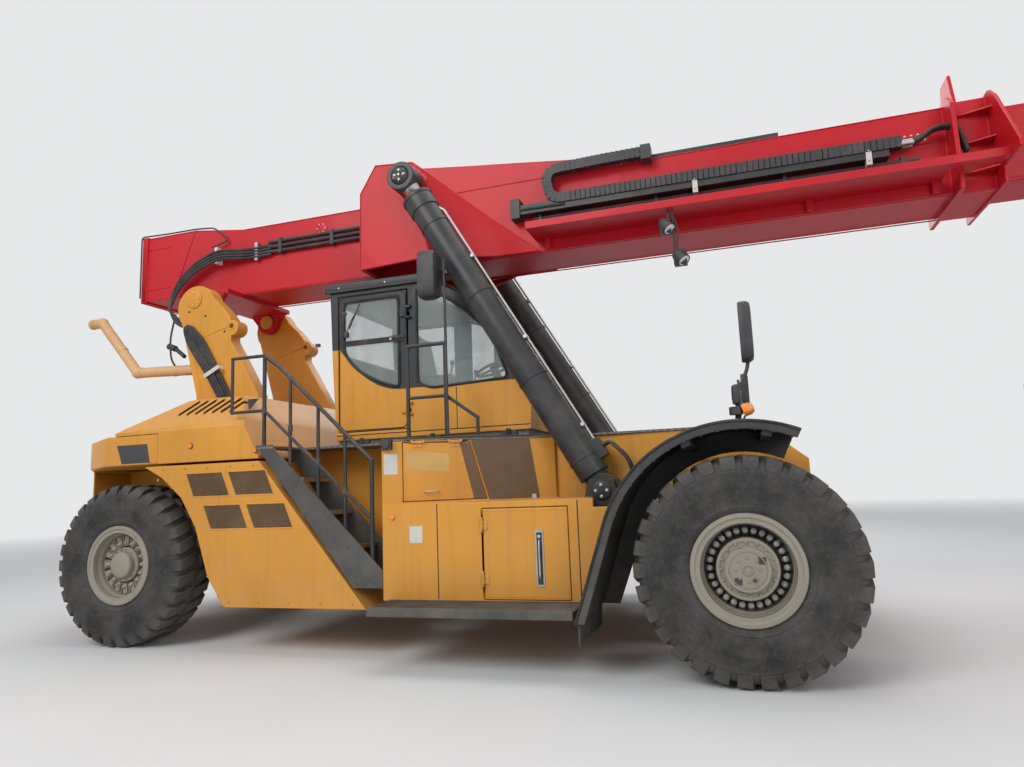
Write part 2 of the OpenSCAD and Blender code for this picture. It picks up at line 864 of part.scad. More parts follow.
module stairs() {
    color(grey) place() both() {
        for (y = [stair_y0, body_y - stair_plate]) side_plate(stringer, y, y + stair_plate);
        for (t = treads) block([t[0] - tread_l, stair_y0 + 5, t[1] - tread_t], [t[0], body_y - 5, t[1]]);
        // Running board outside the side box
        block([box_x0 + 60, body_y + fit, board_z0], [box_x1 - 10, board_y1, board_z1]);
        block([box_x0 + 60, body_y - 200, board_z0], [box_x1 - 10, body_y + 5, skirt_z + 80 - fit]);
    }
}

rail_d = 38;
mid_rail_d = 32;
stair_rail_y = body_y - stair_plate - rail_d / 2 - fit;
loop_rail_y = 1200;
// Posts of the stair rail: [x], foot height, height of the top rail
rail_posts = [
    [-4260, deck_z + fit, 2760],
    [-3970, treads[3][1] + fit, 2520],
    [-3670, treads[2][1] + fit, 2232],
    [-3390, treads[1][1] + fit, 1963]
];
rail_low = [-3120, treads[0][1] + fit, 1704];

function rear_loop(z, back) = [rail_posts[0][0] + back, stair_rail_y, z];

module handrails() {
    color(black) place() both() {
        // Top rail down the stairs, bent down to the lowest tread
        bent_bar([[rail_posts[0][0], stair_rail_y, rail_posts[0][1]], [rail_posts[0][0],
            stair_rail_y, rail_posts[0][2]],
            [-4080, stair_rail_y, 2626], [rail_low[0], stair_rail_y, rail_low[2]],
            [rail_low[0], stair_rail_y, rail_low[1]]], rail_d);
        for (i = [1:len(rail_posts) - 1])
            bar([rail_posts[i][0], stair_rail_y, rail_posts[i][1]], [rail_posts[i][0],
                stair_rail_y, rail_posts[i][2]],
                mid_rail_d);
        // Loop behind the landing
        bent_bar([rear_loop(2760, 0), rear_loop(2760, -370), rear_loop(2230, -370), rear_loop(2230,
            0)], mid_rail_d);
        // Mid rail
        bent_bar([[rail_posts[0][0], stair_rail_y, 2230], [rail_low[0], stair_rail_y, 1190]], mid_rail_d);
        // Loop beside the cab's door
        bent_bar([[-2950, loop_rail_y, deck_z + fit], [-2950, loop_rail_y, 2790], [-2560, loop_rail_y, 2790],
            [-2560, loop_rail_y, deck_z + fit]], rail_d);
        bar([-2950, loop_rail_y, 2290], [-2560, loop_rail_y, 2290], mid_rail_d);
        bent_bar([[-2560, loop_rail_y, 2290], [-2270, loop_rail_y - 50, 2070], [-2270,
            loop_rail_y - 50, deck_z + fit]],
            mid_rail_d);
    }
}

/* Front fenders */

fender_r = 1030;
fender_t = 24;
fender_gap = 45;
fender_y0 = 1140;
fender_y1 = 2080;
fender_foot = [-1215, 420];
fender_a0 = 66;
fender_a1 = 160;

function fender_line(r, a0, a1, steps) = [
    for (i = [0:steps]) [cos(a0 + (a1 - a0) * i / steps) * r, axle_z + sin(a0 + (a1 - a0) * i / steps) * r]
];

module front_fenders() {
    outer = concat(fender_line(fender_r, fender_a0, fender_a1, 14), [fender_foot]);
    inner = concat(fender_line(fender_r - fender_t, fender_a0, fender_a1, 14), [fender_foot + [26, 0]]);
    outline = concat(outer, [for (i = [len(inner) - 1:-1:0]) inner[i]]);
    lip = concat(fender_line(fender_r + 6, fender_a0, fender_a1, 14), [fender_foot - [6, 0]]);
    lip_in = concat(fender_line(fender_r - 60, fender_a0, fender_a1, 14), [fender_foot + [62, 0]]);
    wall = concat(fender_line(fender_r - 2, fender_a0, fender_a1, 14), [fender_foot + [2, 0],
        fender_foot + [170, 0]]);
    wall_in = fender_line(axle_z + fender_gap, fender_a0, fender_a1, 14);
    color(dark) place() both() {
        side_plate(outline, fender_y0, fender_y1 - 20);
        side_plate(concat(wall, [for (i = [len(wall_in) - 1:-1:0]) wall_in[i]]), fender_y0, fender_y0 + 16);
        side_plate(concat(lip, [for (i = [len(lip_in) - 1:-1:0]) lip_in[i]]), fender_y1 - 30, fender_y1);
        for (a = [78, 112])
            translate([0, 0, axle_z]) rotate([0, 90 - a, 0])
                block([-35, rail_y + fit, fender_r - fender_t - 72], [35, fender_y1 - 40,
                    fender_r - fender_t + 2]);
    }
}

/* Air pipe */

air_y = -720;

air_low_z = 2890;
air_top_z = 3590;

// A bent pipe that leaves the right tower's rear edge and ends level
module air_pipe() {
    color([0.86, 0.62, 0.42]) place() difference() {
        bent_bar([[pivot_x, air_y, air_low_z], [-6720, air_y, air_low_z + 35], [-7290, air_y, air_top_z],
            [air_pipe_x, air_y, air_top_z]], air_pipe_d, 24);
        translate([-fit, 0, 0]) side_plate(tower_outline, -tower_out_y - 50, -tower_in_y + 50);
    }
}

/* Cab */

cab_outline = [
    [-4000, cab_z0],
    [-1870, cab_z0],
    [-1850, 2240],
    [-1950, 2400],
    [-2130, 2950],
    [-2450, 3310],
    [-2870, roof_z - roof_t - fit],
    [-4070, roof_z - roof_t - fit],
    [-4045, 2820]
];
cab_inside = [
    [-3950, cab_z0 + 60],
    [-1930, cab_z0 + 60],
    [-1910, 2240],
    [-2005, 2400],
    [-2180, 2920],
    [-2490, 3265],
    [-2890, roof_z - roof_t - 60],
    [-4010, roof_z - roof_t - 60],
    [-3992, 2820]
];
// Window outlines of [x, z] points on the cab's sides
front_side_window = [
    [-3050, 2500],
    [-2900, 2440],
    [-2080, 2480],
    [-2240, 2930],
    [-2540, 3230],
    [-2900, 3480],
    [-3050, 3480]
];
door_window = [
    [door_x0 + 65, 2920],
    [door_x0 + 125, 2800],
    [door_x0 + 255, 2670],
    [door_x0 + 465, 2550],
    [door_x1 - 90, 2470],
    [door_x1 - 90, 3440],
    [door_x0 + 60, 3440]
];
door_outline = [
    [door_x0, cab_z0 + 90],
    [door_x1, cab_z0 + 90],
    [door_x1, roof_z - roof_t - 65],
    [door_x0, roof_z - roof_t - 65]
];

module cab_windows(y0, y1) {
    side_plate(front_side_window, y0, y1);
}

module door_hole() {
    side_plate([
        [door_x0 - door_gap, cab_z0 + 90 - door_gap],
        [door_x1 + door_gap, cab_z0 + 90 - door_gap],
        [door_x1 + door_gap, roof_z - roof_t - 65 + door_gap],
        [door_x0 - door_gap, roof_z - roof_t - 65 + door_gap]
    ], -cab_y - 10, -cab_y + cab_wall + 10);
}

hinge_y = -cab_y - 24;
hinge_pin_r = 12;
hinge_half = 45;
hinge_lug = 25;
hinge_heights = [2250, 3250];

// Pins and lugs in front of the door, on the cab's outer face
module hinge_pins() {
    for (z = hinge_heights) {
        translate([door_x1, hinge_y, z - hinge_half - hinge_lug])
            cylinder(r = hinge_pin_r, h = 2 * (hinge_half + hinge_lug), $fn = 32);
        for (low = [z - hinge_half - hinge_lug, z + hinge_half + fit]) {
            block([door_x1 - hinge_pin_r, hinge_y - hinge_pin_r, low],
                [door_x1 + 60, hinge_y + hinge_pin_r, low + hinge_lug - fit]);
            block([door_x1 + door_gap + 4, hinge_y, low], [door_x1 + 60, -cab_y + 5, low + hinge_lug - fit]);
        }
    }
}

// The door's own knuckles round the pins
module hinge_knuckles() {
    for (z = hinge_heights) difference() {
        union() {
            translate([door_x1, hinge_y, z - hinge_half])
                cylinder(r = hinge_pin_r + 8, h = 2 * hinge_half, $fn = 32);
            block([door_x1 - 70, hinge_y, z - hinge_half], [door_x1 - hinge_pin_r, -cab_y + 5,
                z + hinge_half]);
        }
        translate([door_x1, hinge_y, z - hinge_half - 5])
            cylinder(r = hinge_pin_r + run, h = 2 * hinge_half + 10, $fn = 32);
    }
}

module cab_shell() {
    color(yellow) place() {
        hinge_pins();
        cab_walls();
    }
}

module cab_walls() {
    difference() {
        side_plate(cab_outline, -cab_y, cab_y);
        side_plate(cab_inside, -cab_y + cab_wall, cab_y - cab_wall);
        cab_windows(-cab_y - 10, cab_y + 10);
        door_hole();
        // The left window beside the seat, opposite the door
        side_plate(door_window, cab_y - cab_wall - 10, cab_y + 10);
        // Windscreen
        side_plate([[-1830, 2480], [-2080, 2480], [-2240, 2930], [-2540, 3230], [-2900, 3480], [-2700, 3700],
            [-1700, 3300]], -cab_y + 90, cab_y - 90);
        // Rear window
        block([-4200, -cab_y + 130, 2900], [-3900, cab_y - 130, 3440]);
    }
}

module cab_roof() {
    color(dark) place() union() {
        side_plate([[-4130, roof_z - roof_t], [-2800, roof_z - roof_t], [-2850, roof_z - 20], [-2950, roof_z],
            [-4080, roof_z], [-4130, roof_z - 30]], -cab_y - 20, cab_y + 20);
    }
}

module pane(low, high, y0, y1) {
    run_dir = (high - low) / norm(high - low);
    inward = [-run_dir[1], run_dir[0]] * glass_t;
    side_plate([low, high, high + inward, low + inward], y0, y1);
}

module cab_glass() {
    color(clear) place() {
        side_plate(front_side_window, -cab_y + 5, -cab_y + 5 + glass_t);
        side_plate(front_side_window, cab_y - 5 - glass_t, cab_y - 5);
        side_plate(door_window, cab_y - 5 - glass_t, cab_y - 5);
        block([-4045, -cab_y + 130, 2900], [-4045 + glass_t, cab_y - 130, 3440]);
        pane([-1985, 2486], [-2150, 2930], -cab_y + 90, cab_y - 90);
        pane([-2150, 2930], [-2462, 3290], -cab_y + 90, cab_y - 90);
        pane([-2462, 3290], [-2835, 3522], -cab_y + 90, cab_y - 90);
    }
}

module cab_door() {
    color(black) place() {
        hinge_knuckles();
        difference() {
            side_plate(door_outline, -cab_y, -cab_y + cab_wall - 5);
            side_plate(door_window, -cab_y - 10, -cab_y + cab_wall);
        }
    }
}

module door_glass() {
    color(clear) place() difference() {
        side_plate(door_window, -cab_y + 12, -cab_y + 12 + glass_t);
        block([door_x0, -cab_y, 2960], [door_x1, -cab_y + cab_wall, 3010]);
    }
}

module cab_interior() {
    seat_z = cab_z0 + 480;
    color(black) place() {
        block([-3300, -200, cab_z0 + 60 + fit], [-2900, 200, seat_z - 100]);
        block([-3350, -260, seat_z - 105], [-2820, 260, seat_z + 20]);
        side_plate([[-3350, seat_z + 15], [-3220, seat_z + 15], [-3360, seat_z + 700], [-3460,
            seat_z + 700]], -240, 240);
        block([-3200, -420, cab_z0 + 60 + fit], [-2800, -280, seat_z + 160]);
        block([-3200, 280, cab_z0 + 60 + fit], [-2800, 420, seat_z + 160]);
        block([-2310, -70, cab_z0 + 60 + fit], [-2160, 70, cab_z0 + 100]);
        bar([-2238, 0, cab_z0 + 80], [-2488, 0, seat_z + 267], 90, 24);
        translate([-2490, 0, seat_z + 270]) rotate([0, -20, 0])
            rotate_extrude($fn = 48) translate([200, 0]) circle(r = 16, $fn = 16);
        translate([-2490, 0, seat_z + 270]) rotate([0, -20, 0]) block([-195, -20, -10], [195, 20, 10]);
    }
}

/* Mirrors */

mirror_foot_z = axle_z + fender_r - 1;
mirror_pole_x = -2535;
mirror_pole_y = 1235;

module mirrors() {
    color(black) place() {
        both() {
            block([-40, 1880, mirror_foot_z], [60, 1980, mirror_foot_z + 12]);
            bar([10, 1930, mirror_foot_z + 6], [120, 1930, 2330], 28);
            block([80, 1850, 2250], [160, 2030, 2690]);
        }
        // Mirror on a pole beside the cab
        bar([mirror_pole_x, -mirror_pole_y, deck_z + fit], [mirror_pole_x, -mirror_pole_y, 3600], 26);
        block([mirror_pole_x - 240, -1340, 3220], [mirror_pole_x - 60, -1130, 3690]);
        block([mirror_pole_x - 70, -mirror_pole_y - 8, 3480], [mirror_pole_x, -mirror_pole_y + 8, 3520]);
    }
}

/* Lift cylinders, made along +Z from the lower pin, then leaned back */

gland_l = 150;
barrel_z0 = 160;
barrel_l = lift_len - 290;
rod_low = 240;

module lift_station(side) {
    place() on_side(side) translate([lift_low_x, lift_y, lift_low_z]) rotate([0, lift_lean, 0]) children();
}

module eye(r, hole_r) {
    rotate([90, 0, 0]) difference() {
        cylinder(r = r, h = lift_eye_w, center = true, $fn = 64);
        cylinder(r = hole_r, h = lift_eye_w + 10, center = true, $fn = 64);
    }
}

module lift_barrel(side) {
    color(black) lift_station(side) {
        difference() {
            union() {
                translate([0, 0, barrel_z0]) cylinder(r = barrel_r, h = barrel_l - barrel_z0, $fn = 64);
                translate([0, 0, 60]) cylinder(r = lift_eye_w / 2 - 3, h = barrel_z0 - 50, $fn = 64);
                translate([0, 0, barrel_l - gland_l]) cylinder(r = barrel_r + 12, h = gland_l, $fn = 64);
                rotate([90, 0, 0]) cylinder(r = 150, h = lift_eye_w, center = true, $fn = 64);
            }
            translate([0, 0, 200]) cylinder(r = barrel_bore_r, h = barrel_l - gland_l - 200, $fn = 64);
            translate([0, 0, 200]) cylinder(r = rod_r + run, h = barrel_l, $fn = 64);
            rotate([90, 0, 0]) cylinder(r = lift_pin_r + run, h = lift_eye_w + 10, center = true, $fn = 64);
        }
    }
}

module lift_rod(side) {
    color(black) lift_station(side) {
        translate([0, 0, rod_low]) cylinder(r = rod_r, h = lift_len - rod_low - 60, $fn = 64);
        translate([0, 0, rod_low]) cylinder(r = barrel_bore_r - run, h = 140, $fn = 64);
        translate([0, 0, lift_len]) rotate([90, 0, 0]) cylinder(r = 150, h = lift_eye_w,
            center = true, $fn = 64);
        translate([0, lift_eye_w / 2 + 30, lift_len]) rotate([90, 0, 0]) cylinder(r = 85, h = 32, $fn = 48);
    }
}

/* Boom */

boom_back = 30;
lug_y0 = 520;
lug_r = 150;
lug_y1 = tower_y - tower_t / 2 - 6;

module boom_tube(y, z0, z1, wall, x0, x1) {
    difference() {
        block([x0, -y, z0], [x1, y, z1]);
        block([x0 - 10, -y + wall, z0 + wall], [x1 + 10, y - wall, z1 - wall]);
    }
}

// Slanted facets where the wide rear end narrows: stations at the boom's underside and top, and their length
facet_low_x = -6420;
facet_top_x = -6090;
facet_l = 580;
facet_lean = atan2(facet_top_x - facet_low_x, boom_z1 - boom_z0);
facet_run = facet_l * cos(facet_lean);
function facet_point(t) = [t * facet_run, boom_rear_y - t * (boom_rear_y - boom_y)];
facet_plan = [facet_point(-0.25), facet_point(1.02), [facet_run + 400, facet_point(1.02)[1]],
    [facet_run + 400, facet_point(-0.25)[1]]];

// The outer boom's body, hollow from its rear wall to its open front
module boom_body() {
    difference() {
        union() {
            difference() {
                block([boom_x0, -boom_rear_y, boom_z0], [facet_top_x + facet_l, boom_rear_y, boom_z1]);
                both() translate([facet_low_x, 0, boom_z0]) rotate([0, facet_lean, 0])
                    flat_plate(facet_plan, -400, 1400);
            }
            block([boom_x0 + 10, -boom_y, boom_z0], [boom_x1, boom_y, boom_z1]);
        }
        block([boom_x0 + boom_back, -boom_rear_y + boom_wall, boom_z0 + boom_wall],
            [facet_low_x - 40, boom_rear_y - boom_wall, boom_z1 - boom_wall]);
        block([boom_x0 + boom_back, -boom_y + boom_wall, boom_z0 + boom_wall],
            [boom_x1 + 10, boom_y - boom_wall, boom_z1 - boom_wall]);
    }
}

collar_x = 2350;
pad_l = 200;

module base_boom() {
    color(boom_red) place() {
        boom_body();
        // Plate that carries the pivot lugs
        block([pivot_x - 300, -lug_y1 + 20, boom_z0 - 50], [pivot_x + 300, lug_y1 - 20, boom_z0 + 5]);
        // Lugs on the pivot pin
        both() difference() {
            union() {
                side_plate([[pivot_x - 290, boom_z0 + 1], [pivot_x - lug_r + 5, pivot_z - 30],
                    [pivot_x + lug_r - 5, pivot_z - 30], [pivot_x + 290, boom_z0 + 1]], lug_y0, lug_y1 - 20);
                y_bar(pivot_x, pivot_z, lug_r, lug_y0, lug_y1);
            }
            y_bar(pivot_x, pivot_z, pivot_r + run, lug_y0 - 10, lug_y1 + 10);
            block([pivot_x - 300, lug_y0 - 5, boom_z0 - 20], [pivot_x + 300, lug_y1 + 5, boom_z0 + 200]);
        }
        // Wear pads round the inner boom
        both() block([boom_x1 - pad_l, inner_y + fit, boom_z0 + 200], [boom_x1, boom_y, boom_z1 - 200]);
        for (z = [[boom_z0, inner_z0 - fit], [inner_z1 + fit, boom_z1]])
            block([boom_x1 - pad_l, -200, z[0]], [boom_x1, 200, z[1]]);
        // Front collar, a frame round the inner boom
        difference() {
            union() {
                cross_plate([[-560, 4590], [-430, 4700], [430, 4700], [560, 4590], [560, 3800], [-560, 3800]],
                    boom_x1 - 60, boom_x1 - 20);
                cross_plate([[-950, 3950], [-950, 4010], [-560, 4590], [-430, 4700], [430, 4700], [560, 4590],
                    [560, 3800], [-560, 3800], [-560, 3950]], collar_x - 30, collar_x);
                both() block([boom_x1 - 50, boom_y, boom_z0], [collar_x - 10, boom_y + 25, boom_z1]);
                for (z = [boom_z0 - 25, boom_z1])
                    block([boom_x1 - 50, -boom_y - 25, z], [collar_x - 10, boom_y + 25, z + 25]);
                cross_plate([[-220, boom_z1 + 20], [-120, 5060], [120, 5060], [220, boom_z1 + 20]],
                    2120, 2150);
            }
            block([boom_x1 - 200, -boom_y + 1, boom_z0 + 1], [collar_x + 10, boom_y - 1, boom_z1 - 1]);
        }
    }
}

knee_y = lift_y - barrel_r - 20;
knee_wall = 40;
knee_outline = [
    [-3700, boom_z0 - 80],
    [-3690, 4620],
    [-3500, 4920],
    [-3060, 4880],
    [-2560, 4460],
    [-1800, boom_z0 - 4],
    [-2300, boom_z0 - 4],
    [-2900, boom_z0 - 40]
];
// Ridge over the boom's top, from between the knee's plates down to its front end
ridge_y = boom_y - 20;
ridge_x1 = -620;
ridge_outline = [
    [-3690, boom_z1 - 60],
    [-3690, 4620],
    [-3480, 4920],
    [-3150, 5020],
    [-2600, 4950],
    [-2050, 4885],
    [-1260, 4785],
    [ridge_x1, boom_z1 + 8],
    [ridge_x1, boom_z1 - 60]
];
// Half plan [x, y] of the knee, wide at the pins and drawn in to the boom's sides, less a wall
function knee_plan(w) = [
    [-3800, boom_y - 40],
    [-3800, knee_y - w],
    [-2880, knee_y - w],
    [-2300, boom_y + 70 - w],
    [-1700, boom_y + 40 - w],
    [-1700, boom_y - 40]
];

module knee_form(outline, w, y0) {
    intersection() {
        side_plate(outline, y0, knee_y + 10);
        flat_plate(knee_plan(w), boom_z0 - 300, 5200);
    }
}

module boom_knee() {
    color(boom_red) place() difference() {
        union() {
            both() {
                knee_form(knee_outline, 0, boom_y - 20);
                y_bar(lift_top_x, lift_top_z, 150, knee_y - 10, lift_y - lift_eye_w / 2 - 4);
            }
            side_plate(ridge_outline, -ridge_y, ridge_y);
            side_plate([[-3690, boom_z1 - 60], [-3690, 4620], [-3500, 4920], [-3060, 4880], [-2560, 4460]],
                -boom_y - 5, boom_y + 5);
        }
        block([-3800, -boom_y - fit, boom_z0 - fit], [ridge_x1 + 5, boom_y + fit, boom_z1 + fit]);
        block([-3800, -boom_y - fit, boom_z0 - 200], [-1600, boom_y + fit, boom_z0 + 5]);
        // Hollow sides between the outer plates and the boom
        both() knee_form([[-3640, boom_z0 - 200], [-3640, 4560], [-3480, 4850], [-3080, 4820], [-2580, 4400],
            [-1700, boom_z0 - 40], [-1700, boom_z0 - 200]], knee_wall, boom_y + 25);
    }
}

hose_rail_y0 = 640;
hose_rail_y1 = 760;
hose_rail_z0 = 3955;
hose_rail_z1 = 4030;
shelf_x1 = 1900;
lamp_x = -470;
lamp_z = hose_rail_z0 - 230;
lamp_low_z = 3405;
lamp_h = 140;

module boom_rail() {
    color(boom_red) place() mirror([0, 1, 0]) {
        block([-1850, hose_rail_y0, hose_rail_z0], [collar_x - 30 - fit, hose_rail_y1, hose_rail_z1]);
        block([-1850, boom_y + fit, hose_rail_z0], [shelf_x1, hose_rail_y0 + 10, hose_rail_z0 + 20]);
        for (x = [-1750, 780, shelf_x1 - 80])
            block([x, boom_y + fit, boom_z0 + 10], [x + 60, boom_y + 50, hose_rail_z0 + 5]);
        // Work lamps: one under the rail, the other lower on its strap
        block([lamp_x, hose_rail_y0 + 20, lamp_z + lamp_h - 5], [lamp_x + 20, hose_rail_y0 + 60, hose_rail_z0 + 5]);
        block([lamp_x + 40, hose_rail_y0 + 25, lamp_low_z + lamp_h - 5],
            [lamp_x + 60, hose_rail_y0 + 55, hose_rail_z0 + 5]);
        block([lamp_x - 70, hose_rail_y0 - 10, lamp_z], [lamp_x + 30, hose_rail_y0 + 90, lamp_z + lamp_h]);
        block([lamp_x + 35, hose_rail_y0 - 10, lamp_low_z], [lamp_x + 155, hose_rail_y0 + 90, lamp_low_z + lamp_h]);
    }
}

module boom_pipes() {
    y0 = boom_y + 20;
    color(black) place() mirror([0, 1, 0]) {
        block([-2000, boom_y + fit, 4230], [1500, boom_y + 130, 4330]);
        for (z = [4090, 4140, 4190]) bar([-1850, y0 + 20, z], [1750, y0 + 20, z], 38);
        for (x = [-1800, -600, 600, 1600]) block([x, boom_y + fit, 4060], [x + 30, y0 + 45, 4235]);
        for (z = [4300, 4360, 4420]) bar([-5150, y0 + 20, z], [-3720, y0 + 20, z], 42);
        for (x = [-5000, -4300]) block([x, boom_y + fit, 4270], [x + 40, y0 + 48, 4450]);
    }
}

module inner_boom() {
    color(boom_red) place() {
        boom_tube(inner_y, inner_z0, inner_z1, boom_wall, inner_x0, inner_x1);
        both() block([inner_x0, inner_y - 5, inner_z0 + 150],
            [inner_x0 + pad_l, boom_y - boom_wall - fit, inner_z1 - 150]);
        for (z = [[boom_z0 + boom_wall + fit, inner_z0 + 5], [inner_z1 - 5, boom_z1 - boom_wall - fit]])
            block([inner_x0, -200, z[0]], [inner_x0 + pad_l, 200, z[1]]);
    }
}

cheek_y0 = 250;
cheek_y1 = 335;

module boom_head() {
    color(boom_red) place() {
        block([inner_x1 + fit, -inner_y - 40, inner_z0 - 60], [inner_x1 + 40, inner_y + 40, inner_z1 + 40]);
        both() {
            side_plate([[inner_x1 + 30, inner_z0 - 60], [inner_x1 + 30, inner_z1], [inner_x1 + 350,
                inner_z1 - 60],
                [spreader_x + 190, hang_z + 250], [spreader_x + 190, hang_z], [spreader_x + 100,
                    hang_z - 150],
                [spreader_x - 100, hang_z - 150]], cheek_y0, cheek_y1);
        }
        block([inner_x1 + 30, -cheek_y0 - 5, inner_z1 - 360], [inner_x1 + 360, cheek_y0 + 5, inner_z1 - 80]);
        y_bar(spreader_x, hang_z, hang_pin_r, -cheek_y1 - 30, cheek_y1 + 30);
    }
}

/* Spreader */

module spreader_hanger() {
    color(boom_red) place() difference() {
        union() {
            y_bar(spreader_x, hang_z, 150, -cheek_y0 + 6, cheek_y0 - 6);
            block([spreader_x - 130, -cheek_y0 + 6, hanger_z0 + 30], [spreader_x + 130,
                cheek_y0 - 6, hang_z]);
            translate([spreader_x, 0, hanger_z0]) cylinder(r = ring_r, h = 60, $fn = 96);
        }
        y_bar(spreader_x, hang_z, hang_pin_r + run, -cheek_y0, cheek_y0);
    }
}

module slew_carriage() {
    color(boom_red) place() {
        translate([spreader_x, 0, ring_z0]) cylinder(r = ring_r, h = ring_t, $fn = 96);
        block([spreader_x - 420, -600, carriage_z0], [spreader_x + 420, 600, ring_z0 + 5]);
    }
}

main_beam_x = 430;
main_beam_w = 240;

module spreader_frame() {
    color(boom_red) place() translate([spreader_x, 0, 0]) {
        for (s = [-1, 1]) difference() {
            block([s * main_beam_x - main_beam_w / 2, -spreader_y, spreader_z0],
                [s * main_beam_x + main_beam_w / 2, spreader_y, spreader_z1]);
            block([s * main_beam_x - main_beam_w / 2 + 20, -spreader_y - 5, spreader_z0 + 20],
                [s * main_beam_x + main_beam_w / 2 - 20, spreader_y + 5, spreader_z1 - 20]);
        }
        for (y = [-1500, -400, 400, 1500])
            block([-main_beam_x + main_beam_w / 2 - 5, y - 80, spreader_z0 + 40],
                [main_beam_x - main_beam_w / 2 + 5, y + 80, spreader_z1 - 40]);
    }
}

arm_gap = 8;

module end_beam(side) {
    arm_x = main_beam_w / 2 - 20 - arm_gap;
    color(boom_red) place() translate([spreader_x, 0, 0]) on_side(side) {
        // Each side's arms fill half the height of the main beams
        z0 = side > 0 ? (spreader_z0 + spreader_z1) / 2 + arm_gap : spreader_z0 + 20 + fit;
        z1 = side > 0 ? spreader_z1 - 20 - fit : (spreader_z0 + spreader_z1) / 2 - arm_gap;
        for (x = [-main_beam_x, main_beam_x])
            block([x - arm_x, -1900, z0], [x + arm_x, end_beam_y, z1]);
        block([-end_beam_x - end_beam_w / 2, end_beam_y - end_beam_w / 2, spreader_z0],
            [end_beam_x + end_beam_w / 2, end_beam_y + end_beam_w / 2, spreader_z1]);
        for (x = [-end_beam_x, end_beam_x]) {
            block([x - end_beam_w / 2, end_beam_y - end_beam_w / 2, spreader_z0 - lock_h],
                [x + end_beam_w / 2, end_beam_y + end_beam_w / 2, spreader_z0 + 5]);
            translate([x, end_beam_y, spreader_z0 - lock_h - 110]) cylinder(r = 28, h = 120, $fn = 32);
        }
    }
}

main_frame();
boom_towers();
counterweight();
engine_block();
hood();
side_covers();
side_grilles();
side_boxes();
walk_decks();
stairs();
handrails();
front_fenders();
front_axle();
rear_axle();
air_pipe();
cab_shell();
cab_roof();
cab_glass();
cab_interior();
cab_door();
door_glass();
mirrors();
box_lid(-1);  // right_lid
box_lid(1);  // left_lid
box_door(-1);  // right_door
box_door(1);  // left_door
front_tyre_pair(-1);  // front_tyres_right
front_rim_pair(-1);  // front_rims_right
front_tyre_pair(1);  // front_tyres_left
front_rim_pair(1);  // front_rims_left
rear_tyre(-1);  // rear_tyre_right
rear_rim_part(-1);  // rear_rim_right
rear_tyre(1);  // rear_tyre_left
rear_rim_part(1);  // rear_rim_left
knuckle(-1);  // knuckle_right
knuckle(1);  // knuckle_left
lift_barrel(-1);  // lift_barrel_right
lift_rod(-1);  // lift_rod_right
lift_barrel(1);  // lift_barrel_left
lift_rod(1);  // lift_rod_left
base_boom();
boom_knee();
boom_rail();
boom_pipes();
inner_boom();
boom_head();
spreader_hanger();
slew_carriage();
spreader_frame();
end_beam(-1);  // end_beam_right
end_beam(1);  // end_beam_left
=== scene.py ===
"""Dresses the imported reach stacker: paint and wear, tyres, rims, cab fittings, hoses, fasteners and the studio.

Metres, +X forward, +Y to the machine's left, +Z up. Stations are measured from the front axle, as at() does.
"""

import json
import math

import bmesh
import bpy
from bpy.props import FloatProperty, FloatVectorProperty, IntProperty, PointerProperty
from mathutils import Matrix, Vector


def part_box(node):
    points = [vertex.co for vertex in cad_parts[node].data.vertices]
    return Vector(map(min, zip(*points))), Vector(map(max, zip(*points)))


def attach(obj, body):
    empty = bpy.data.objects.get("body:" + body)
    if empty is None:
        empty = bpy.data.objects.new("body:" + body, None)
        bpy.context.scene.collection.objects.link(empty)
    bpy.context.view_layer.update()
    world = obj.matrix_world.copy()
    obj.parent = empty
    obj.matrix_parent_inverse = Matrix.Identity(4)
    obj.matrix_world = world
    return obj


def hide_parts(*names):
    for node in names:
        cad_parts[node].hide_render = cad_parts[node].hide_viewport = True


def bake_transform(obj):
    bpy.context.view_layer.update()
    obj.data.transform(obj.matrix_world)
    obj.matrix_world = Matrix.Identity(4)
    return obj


bl_info = {
    "name": "Reach stacker workshop",
    "version": (1, 0),
    "blender": (4, 5, 0),
    "location": "View3D > Sidebar > Stacker",
    "description": "Builds the looks of a reach stacker round its fixed frame, piece by piece",
    "category": "Object",
}

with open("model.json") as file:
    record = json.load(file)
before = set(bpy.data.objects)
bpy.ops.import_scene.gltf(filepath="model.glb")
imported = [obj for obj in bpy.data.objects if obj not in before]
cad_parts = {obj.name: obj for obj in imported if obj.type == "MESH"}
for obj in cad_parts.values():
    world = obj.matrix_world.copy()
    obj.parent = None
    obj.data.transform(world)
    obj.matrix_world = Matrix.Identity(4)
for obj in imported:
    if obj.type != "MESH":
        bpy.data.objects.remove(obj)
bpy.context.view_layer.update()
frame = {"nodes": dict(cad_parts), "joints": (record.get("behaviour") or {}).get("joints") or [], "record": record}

RIGHT, LEFT = -1, 1
SIDES = {"right": RIGHT, "left": LEFT}


def joint_at(name):
    """The point that a joint of the frame turns about."""
    return Vector(next(j["pos_m"] for j in frame["joints"] if j["name"] == name))


front_axle = joint_at("front_roll_right")
rear_axle = joint_at("rear_roll_right")
axle_z = front_axle.z
spreader_x = joint_at("spreader_turn").x - front_axle.x


def at(x, y, z):
    """A point at a station ahead of the front axle, a distance to the left and a height."""
    return Vector((front_axle.x + x, y, z))


# Foot and eye of the left lift cylinder
LIFT_FOOT, LIFT_EYE = (-1.16, 0.95, 1.36), (-3.06, 0.95, 4.6)

# Sizes and colours that a user may change


